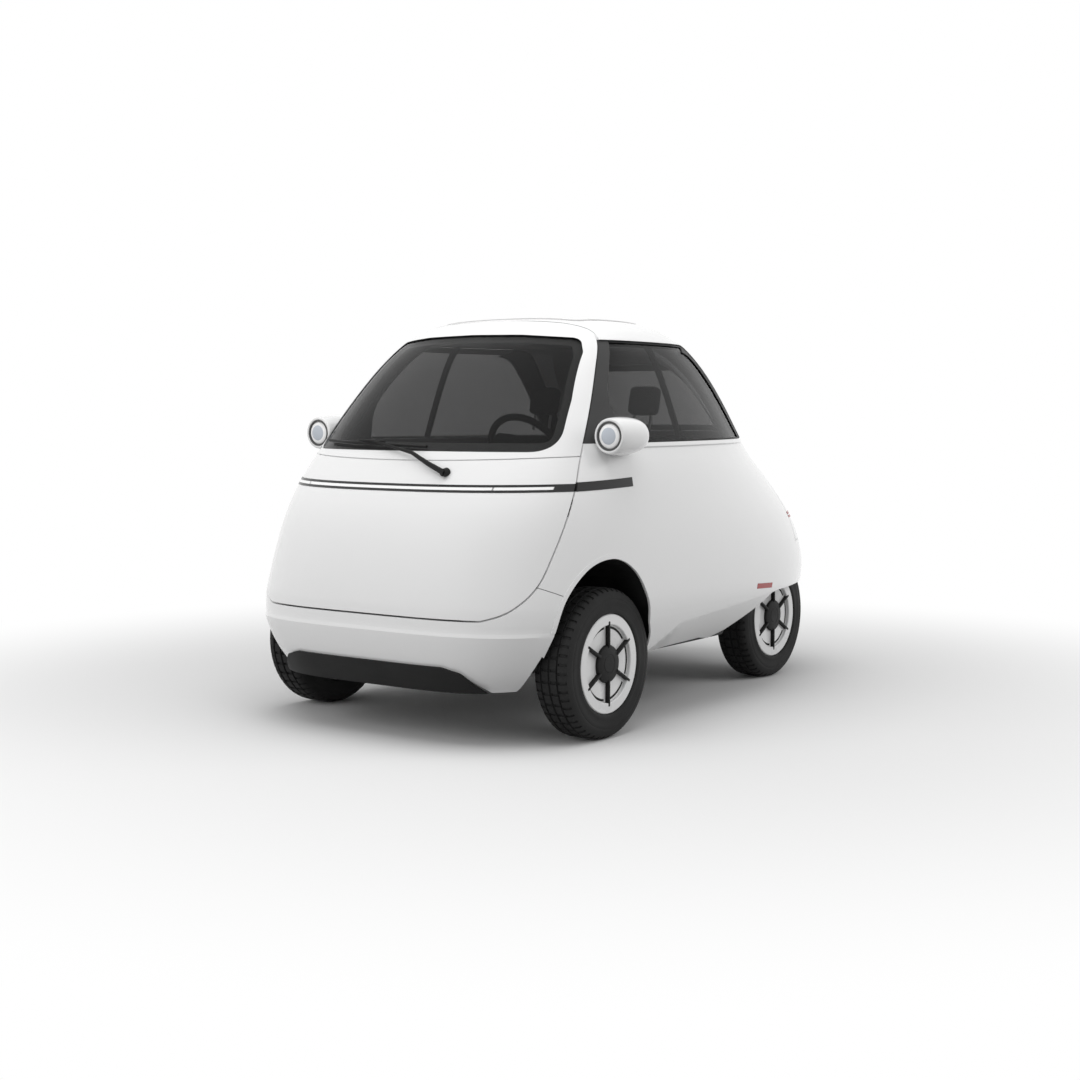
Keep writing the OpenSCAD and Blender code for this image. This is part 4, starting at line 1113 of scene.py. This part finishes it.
# ---------------------------------------------------------------- wheels
@dataclass
class RoadWheel:
    """One wheel and its tyre, turned about the axle."""

    label: str
    x: float
    y: float
    side: int
    rim_r: float = 176.0
    face: float = 70.0
    tyre_r: float = 266.5
    half: float = 75.0

    def place(self, mesh: bmesh.types.BMesh) -> None:
        """Turns a mesh drawn about +Z so that its face looks outwards at the wheel's place."""
        turn = Matrix.Rotation(math.radians(90 * self.side), 4, "Y")
        spot = Matrix.Translation((self.x * MM, self.y * MM, AXLE_Z * MM))
        bmesh.ops.transform(mesh, matrix=spot @ turn, verts=mesh.verts[:])

    @staticmethod
    def spun(mesh: bmesh.types.BMesh, profile: list[Point2], steps: int = 120) -> None:
        """Spins a profile about +Z.

        Args:
            mesh: The mesh that it is added to.
            profile: Radius and height of each point.
            steps: Flat sides in a full turn.
        """
        verts = [mesh.verts.new((a * MM, 0, b * MM)) for a, b in profile]
        edges = [mesh.edges.new(pair) for pair in zip(verts, verts[1:])]
        bmesh.ops.spin(mesh, geom=verts + edges, cent=(0, 0, 0), axis=(0, 0, 1), dvec=(0, 0, 0),
                       angle=2 * math.pi, steps=steps, use_merge=True)
        bmesh.ops.remove_doubles(mesh, verts=mesh.verts[:], dist=1e-6)
        bmesh.ops.recalc_face_normals(mesh, faces=mesh.faces[:])

    def build(self) -> None:
        """Builds and attaches the rim, its cap, its ribs and the tyre."""
        body = f"roll_{self.label}"
        f, r = self.face, self.rim_r
        rim = [(20.1, -15), (38, -15), (38, f - 24), (r - 12, f - 24), (r - 12, -66), (r - 10, -70.5), (r - 1, -70.5),
               (r - 0.5, -68), (r - 0.5, f - 3), (r - 3.5, f), (r - 36, f), (r - 38.5, f - 2), (r - 39, f - 14),
               (66, f - 13), (60, f - 16), (20.1, f - 16), (20.1, -15)]
        mesh = bmesh.new()
        self.spun(mesh, rim)
        self.place(mesh)
        finish(as_object(f"rim_{self.label}", mesh), RIM, body, f"wheel_{self.label}", sharp=28)
        self.cap(body)
        self.slit_shade(body)
        self.tyre(body)

    def cap(self, body: str) -> None:
        """Builds the black centre cap with its six ribs.

        Args:
            body: The body that it rides on.
        """
        f = self.face
        mesh = bmesh.new()
        self.spun(mesh, [(0, f + 1.5), (30, f + 1.2), (31, f + 0.2), (34, f + 0.2), (35, f + 1.0), (60, f - 0.8),
                         (65, f - 3), (67, f - 7), (67, f - 15), (0, f - 15)], 72)
        for k in range(6):
            spoke(mesh, (0.092, 0.0105, 0.017), (0.104, 0, (f - 6.5) * MM), 0.85, 0.0022, 60 * k)
        self.place(mesh)
        finish(as_object(f"cap_{self.label}", mesh), BLACK_TRIM, body, sharp=35)

    def slit_shade(self, body: str) -> None:
        """Builds thin black arcs at the outer edge of the rim's recess: painted shade for the dark gaps between the
        ring and the dish.

        Args:
            body: The body that it rides on.
        """
        f = self.face
        mesh = bmesh.new()
        for k in range(6):
            start = math.radians(60 * k + 7)
            profile = [(124, f - 13.6), (124, f - 12.9), (132, f - 12.9), (132, f - 13.6)]
            verts = [mesh.verts.new((a * MM * math.cos(start), a * MM * math.sin(start), b * MM))
                     for a, b in profile]
            edges = [mesh.edges.new(pair) for pair in zip(verts, verts[1:])]
            bmesh.ops.spin(mesh, geom=verts + edges, cent=(0, 0, 0), axis=(0, 0, 1), dvec=(0, 0, 0),
                           angle=math.radians(46), steps=16, use_merge=False)
        bmesh.ops.recalc_face_normals(mesh, faces=mesh.faces[:])
        self.place(mesh)
        # The black finish on these arcs is painted shade for the gaps, which are not cut into the rim.
        finish(as_object(f"slits_{self.label}", mesh), BLACK_TRIM, body)

    def tyre(self, body: str) -> None:
        """Builds the tyre with its grooves and shoulder blocks.

        Args:
            body: The body that it rides on.
        """
        r, h = self.tyre_r, self.half
        half = [(176.4, -h + 8.5), (180, -h + 2.5), (186, -h + 0.6), (193, -h + 1.2), (197, -h + 2.6),
                (214, -h + 0.2), (226, -h + 0.3), (228, -h + 1.2), (231, -h + 0.5), (238, -h + 1.5),
                (247, -h + 4.4), (254.5, -h + 8.5), (260, -h + 14), (263.8, -h + 21), (265.6, -h + 29),
                (266.1, -h + 38), (261, -h + 39.5), (261, -h + 44), (266.2, -h + 45.5), (266.4, -h + 58),
                (266.4, -h + 70.5), (261, -h + 72)]
        mesh = bmesh.new()
        steps = 156
        self.spun(mesh, half + [(a, -b) for a, b in reversed(half)], steps)
        mesh.faces.ensure_lookup_table()
        for low, high, every, outside in ((0.2535, 0.2661, 3, True), (0.2660, 0.2665, 4, False)):
            chosen = []
            for item in mesh.faces:
                mid = item.calc_center_median()
                far = math.hypot(mid.x, mid.y)
                index = int(round((math.atan2(mid.y, mid.x) % (2 * math.pi)) / (2 * math.pi) * steps - 0.5))
                shoulder = abs(mid.z) > 0.037
                if low < far < high and shoulder == outside and index % every == 0:
                    chosen.append(item)
            bmesh.ops.inset_region(mesh, faces=chosen, thickness=0.0012, depth=-0.0045, use_even_offset=True,
                                   use_boundary=True)
        self.place(mesh)
        finish(as_object(f"tyre_{self.label}_tread", mesh), RUBBER, body, f"tyre_{self.label}", sharp=34)


# ---------------------------------------------------------------- cabin
@dataclass
class Cabin:
    """The seats, headrests and steering wheel."""

    recline: float = 13.0
    cushion: tuple[Point3, Point3] = ((-0.5, -0.4716, 0.3916), (0.5, -0.0566, 0.5266))
    back_origin: Point2 = (-0.0516, 0.4216)
    back_t: float = 0.105
    voxel: float = 0.010
    seams: Point2 = (-0.166, 0.166)
    headrest: Point3 = (0.165, 0.085, 0.15)
    headrest_x: float = 0.25
    headrest_voxel: float = 0.006
    fill: float = 0.8
    wheel_middle: Point3 = (0.25, -0.6136, 0.99)
    wheel_lean: float = -60.0

    def build(self) -> None:
        """Builds and attaches every piece."""
        (x0, y0, z0), (x1, y1, z1) = self.cushion
        tall = leaning_length("seat_back", self.recline, self.back_t)
        lean = Matrix.Translation((0, *self.back_origin)) @ Matrix.Rotation(math.radians(-self.recline), 4, "X")
        for node, size, cap, place in (
                ("seat_cushion", (x1 - x0, y1 - y0, z1 - z0), 0.020,
                 Matrix.Translation(((x0 + x1) / 2, (y0 + y1) / 2, (z0 + z1) / 2))),
                ("seat_back", (1.0, self.back_t, tall), 0.018,
                 lean @ Matrix.Translation((0, self.back_t / 2, tall / 2)))):
            pad = self.pad(f"{node}_pad", size, self.voxel)
            self.settle(pad, cap)
            self.channels(pad, self.seams)
            pad.data.transform(place)
            finish(pad, SEAT, Body.CHASSIS.value, node, sharp=80)
        self.headrests(lean, tall)
        self.steering_wheel()

    @staticmethod
    def pad(name: str, size: Point3, voxel: float) -> bpy.types.Object:
        """Makes a crowned, evenly meshed block a little smaller than its space.

        Args:
            name: The piece's name.
            size: The space's sizes.
            voxel: Size of the new mesh's faces.

        Returns:
            The block, about the origin.
        """
        mesh = bmesh.new()
        made = bmesh.ops.create_cube(mesh, size=1.0)["verts"]
        bmesh.ops.scale(mesh, vec=[max(s - 0.034, s * 0.72) for s in size], verts=made)
        bmesh.ops.bevel(mesh, geom=mesh.edges[:], offset=min(size) * 0.26, segments=5, profile=0.5,
                        affect="EDGES", material=-1)
        block = as_object(name, mesh)
        remesh = block.modifiers.new("even", "REMESH")
        remesh.mode, remesh.voxel_size = "VOXEL", voxel
        graph = bpy.context.evaluated_depsgraph_get()
        data = bpy.data.meshes.new_from_object(block.evaluated_get(graph))
        block.modifiers.clear()
        block.data = data
        return block

    @staticmethod
    def settle(piece: bpy.types.Object, cap: float, frames: int = 12) -> None:
        """Swells a pad as cloth under pressure, and keeps each point near where it was.

        Args:
            piece: The pad.
            cap: The furthest that a point may move.
            frames: How long the cloth moves.
        """
        start = np.array([v.co for v in piece.data.vertices])
        cloth = piece.modifiers.new("cloth", "CLOTH")
        cloth.settings.use_pressure = True
        cloth.settings.uniform_pressure_force = 4.0
        cloth.settings.quality = 4
        cloth.settings.effector_weights.gravity = 0.0
        cloth.point_cache.frame_start, cloth.point_cache.frame_end = 1, frames
        scene = bpy.context.scene
        for number in range(1, frames + 1):
            scene.frame_set(number)
        graph = bpy.context.evaluated_depsgraph_get()
        data = bpy.data.meshes.new_from_object(piece.evaluated_get(graph))
        piece.modifiers.clear()
        piece.data = data
        scene.frame_set(1)
        end = np.array([v.co for v in data.vertices])
        move = end - start
        length = np.maximum(np.linalg.norm(move, axis=1, keepdims=True), 1e-9)
        end = start + move * np.minimum(1, cap / length)
        for vert, place in zip(data.vertices, end):
            vert.co = place

    @staticmethod
    def channels(piece: bpy.types.Object, places: Point2, width: float = 0.012, depth: float = 0.12) -> None:
        """Sinks sewn channels across a pad.

        Args:
            piece: The pad.
            places: Where the channels run, across the car.
            width: Half a channel's width.
            depth: Share of the way to the pad's middle that it sinks.
        """
        middle = np.mean([v.co for v in piece.data.vertices], axis=0)
        for vert in piece.data.vertices:
            near = min(abs(vert.co.x - p) for p in places)
            pull = depth * math.exp(-(near / width) ** 2)
            vert.co.y += (middle[1] - vert.co.y) * pull
            vert.co.z += (middle[2] - vert.co.z) * pull

    def headrests(self, lean: Matrix, tall: float) -> None:
        """Builds both headrests.

        Args:
            lean: The seat back's place and lean.
            tall: The seat back's length.
        """
        pads = []
        for side in (-1, 1):
            pad = self.pad(f"headrest_{side}", self.headrest, self.headrest_voxel)
            self.settle(pad, 0.012)
            pad.data.transform(lean @ Matrix.Translation((side * self.headrest_x, 0.0575, tall + 0.042 + 0.075)))
            pads.append(pad)
        both = join_into(*pads)
        both.name = "headrest_pads"
        finish(both, SEAT, Body.CHASSIS.value, "headrests", sharp=80)
        mesh = bmesh.new()
        for side in (-1, 1):
            for post in (-0.04, 0.04):
                made = bmesh.ops.create_cone(mesh, cap_ends=True, segments=20, radius1=0.006, radius2=0.006,
                                             depth=0.062)["verts"]
                bmesh.ops.transform(mesh, verts=made, matrix=lean @ Matrix.Translation(
                    (side * self.headrest_x + post, 0.0575, tall + 0.025)))
        finish(as_object("headrest_posts", mesh), STEEL, Body.CHASSIS.value)

    def steering_wheel(self) -> None:
        """Builds the steering wheel's rim, spokes and hub."""
        mesh = bmesh.new()
        section = bmesh.ops.create_circle(mesh, segments=20, radius=0.013)["verts"]
        stand = Matrix.Translation((0.157, 0, 0)) @ Matrix.Rotation(math.pi / 2, 4, "X")
        bmesh.ops.transform(mesh, matrix=stand, verts=section)
        bmesh.ops.spin(mesh, geom=section + mesh.edges[:], cent=(0, 0, 0), axis=(0, 0, 1), dvec=(0, 0, 0),
                       angle=2 * math.pi, steps=96, use_merge=True)
        profile = [(0, 0.006), (0.03, 0.004), (0.041, -0.002), (0.045, -0.012), (0.042, -0.036), (0.011, -0.038),
                   (0.011, -0.13), (0, -0.13)]
        RoadWheel.spun(mesh, [(a * 1000, b * 1000) for a, b in profile], 48)
        for turn in (0, 90, 180):
            spoke(mesh, (0.112, 0.03, 0.011), (0.094, 0, -0.003), 0.7, 0.003, turn)
        bmesh.ops.transform(mesh, verts=mesh.verts[:], matrix=Matrix.Translation(self.wheel_middle)
                            @ Matrix.Rotation(math.radians(self.wheel_lean), 4, "X"))
        bmesh.ops.recalc_face_normals(mesh, faces=mesh.faces[:])
        finish(as_object("steering_rim_and_hub", mesh), BLACK_TRIM, Body.STEERING.value, "steering_wheel", sharp=40)


def leaning_length(node: str, lean: float, thick: float) -> float:
    """Finds a leaning block's own length from its box.

    Args:
        node: The CAD node.
        lean: Degrees that it leans by.
        thick: Its thickness.

    Returns:
        The length in metres.
    """
    low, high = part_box(node)
    return (high[2] - low[2] - thick * math.sin(math.radians(lean))) / math.cos(math.radians(lean))


@dataclass
class Hinges:
    """The hinge parts, held just below the outer surface."""

    clear: float = 4.0
    inboard: float = 100.0
    corner: float = 600.0

    def build(self) -> None:
        """Builds and attaches both pieces."""
        for node, name, body in (("hinge_pins", "hinge_ears_and_pins", Body.CHASSIS.value),
                                 ("door_hinge_arms", "door_swan_necks", Body.DOOR.value)):
            mesh = bmesh.new()
            mesh.from_mesh(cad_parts[node].data)
            bmesh.ops.remove_doubles(mesh, verts=mesh.verts[:], dist=1e-6)
            for vert in mesh.verts:
                self.hold(vert)
            finish(as_object(name, mesh), STEEL, body, node, sharp=30)

    def hold(self, vert: bmesh.types.BMVert) -> None:
        """Draws one point of a front hinge in behind the outer surface.

        Args:
            vert: The point.
        """
        x, y, z = vert.co / MM
        if y > 0 or x < self.inboard:
            return
        s = SHELL.station(z)
        drawn = y + MIDDLE
        share = min(abs(s[4] - drawn) / (s[4] - s[1]), 1.0)
        side = s[3] * WIDTH_SHARE * max(1 - share ** s[5], 0.0) ** (1 / s[5]) - self.clear
        if x > side > self.corner:
            vert.co.x = side * MM
        front = SHELL.nose(x / WIDTH_SHARE, z).y + self.clear * MM
        if x < self.corner and vert.co.y < front:
            vert.co.y = front


# ---------------------------------------------------------------- what keeps its CAD shape
KEPT = {
    "front_liners": BLACK_TRIM, "rear_liners": BLACK_TRIM, "floor_pan": UNDERSIDE, "battery_box": BATTERY,
    "motor": MOTOR, "seat_frame": STEEL, "door_dash": DARK_TRIM, "tailgate_hinge_arms": STEEL,
    "front_axle": CAST, "knuckle_left": CAST, "knuckle_right": CAST, "rear_axle": CAST,
    "steering_column": BLACK_TRIM, "plate_holder": PLATE,
}


def dress_kept() -> None:
    """Gives each carried-over CAD node its finish."""
    for name, look in KEPT.items():
        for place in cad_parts[name].material_slots:
            place.material = look.material()


# ---------------------------------------------------------------- studio
@dataclass
class Studio:
    """The camera, the lamps, the world and the floor."""

    spot: Point3 = (3.887, -5.513, 1.153)
    turn: Point3 = (85.488, 0.0, 36.156)
    lens: float = 55.1
    world_strength: float = 0.5
    floor_near: float = 1.1
    floor_far: float = 3.7
    floor_tone: float = 0.76
    floor_bounce: float = 0.4

    def build(self) -> None:
        """Builds the whole studio."""
        camera = bpy.data.objects.new("camera", bpy.data.cameras.new("camera"))
        camera.location = self.spot
        camera.rotation_euler = [math.radians(a) for a in self.turn]
        camera.data.lens, camera.data.sensor_width = self.lens, 36.0
        camera.data.clip_end = 200.0
        bpy.context.scene.collection.objects.link(camera)
        bpy.context.scene.camera = camera
        bpy.context.scene.view_settings.view_transform = "Standard"
        self.world()
        self.lamp("top_softbox", (0.3, -1.2, 4.2), (0.0, -0.2, 0.6), 3.6, 85)
        self.lamp("front_softbox", (-1.6, -5.2, 2.6), (0.0, -0.6, 0.7), 3.4, 70)
        self.lamp("side_softbox", (4.6, 2.0, 3.2), (0.4, 0.4, 0.7), 3.4, 75)
        self.floor()

    @staticmethod
    def lamp(name: str, spot: Point3, aim: Point3, size: float, power: float) -> None:
        """Adds one soft area lamp.

        Args:
            name: Its name.
            spot: Where it hangs.
            aim: Where it points.
            size: Its side.
            power: Its power in watts.
        """
        data = bpy.data.lights.new(name, "AREA")
        data.size, data.energy = size, power
        item = bpy.data.objects.new(name, data)
        item.location = spot
        item.rotation_euler = (Vector(aim) - Vector(spot)).to_track_quat("-Z", "Y").to_euler()
        item.visible_glossy = False
        bpy.context.scene.collection.objects.link(item)

    @staticmethod
    def seen(tree: bpy.types.NodeTree) -> bpy.types.NodeSocket:
        """Adds the test for camera, glossy and transmission rays.

        Args:
            tree: The node tree.

        Returns:
            A socket that is 1 for those rays.
        """
        path = add_node(tree, "LightPath").outputs
        both = add_node(tree, "Math", {0: path["Is Camera Ray"], 1: path["Is Glossy Ray"]}, operation="ADD")
        return add_node(tree, "Math", {0: both.outputs[0], 1: path["Is Transmission Ray"]}, operation="ADD",
                        use_clamp=True).outputs[0]

    def world(self) -> None:
        """Makes the world white to the eye and plain in its light."""
        world = bpy.data.worlds.new("studio_world")
        world.use_nodes = True
        tree = world.node_tree
        back = next(n for n in tree.nodes if n.type == "BACKGROUND")
        back.inputs["Color"].default_value = (1, 1, 1, 1)
        span = add_node(tree, "MapRange", {"Value": self.seen(tree), "To Min": self.world_strength, "To Max": 1.0})
        tree.links.new(span.outputs["Result"], back.inputs["Strength"])
        bpy.context.scene.world = world

    def floor(self) -> None:
        """Lays a pale floor that fades into white away from the car."""
        mesh = bmesh.new()
        bmesh.ops.create_circle(mesh, cap_ends=True, segments=96, radius=60.0)
        piece = as_object("studio_floor", mesh)
        made = bpy.data.materials.new("studio_floor")
        made.use_nodes = True
        tree = made.node_tree
        tree.nodes.clear()
        seen = self.seen(tree)
        tone = add_node(tree, "MapRange", {"Value": seen, "To Min": self.floor_bounce, "To Max": self.floor_tone})
        flat = add_node(tree, "BsdfDiffuse", {"Color": tone.outputs["Result"]})
        away = add_node(tree, "VectorMath", {0: add_node(tree, "TexCoord").outputs["Object"]}, operation="LENGTH")
        fade = add_node(tree, "MapRange", {"Value": away.outputs["Value"], "From Min": self.floor_near,
                                           "From Max": self.floor_far}, interpolation_type="SMOOTHSTEP")
        share = add_node(tree, "Math", {0: fade.outputs["Result"], 1: seen}, operation="MULTIPLY")
        mix = add_node(tree, "MixShader", {"Fac": share.outputs[0], 1: flat.outputs[0],
                                           2: add_node(tree, "Emission").outputs[0]})
        add_node(tree, "OutputMaterial", {"Surface": mix.outputs[0]})
        piece.data.materials.append(made)


WHEELS = (("front_left", 636, -749, 1), ("front_right", -636, -749, -1), ("rear_left", 445, 818, 1),
          ("rear_right", -445, 818, -1))


def main() -> None:
    """Builds the car and its studio."""
    logging.basicConfig(level=logging.INFO, format="%(message)s")
    Studio().build()
    FrontDoor().build()
    FixedPanels().build()
    Tailgate().build()
    for row in WHEELS:
        RoadWheel(*row).build()
    Cabin().build()
    Hinges().build()
    dress_kept()
    for data in SHELL.store.values():
        bpy.data.meshes.remove(data)
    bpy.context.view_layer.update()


if __name__ == "__main__":
    main()
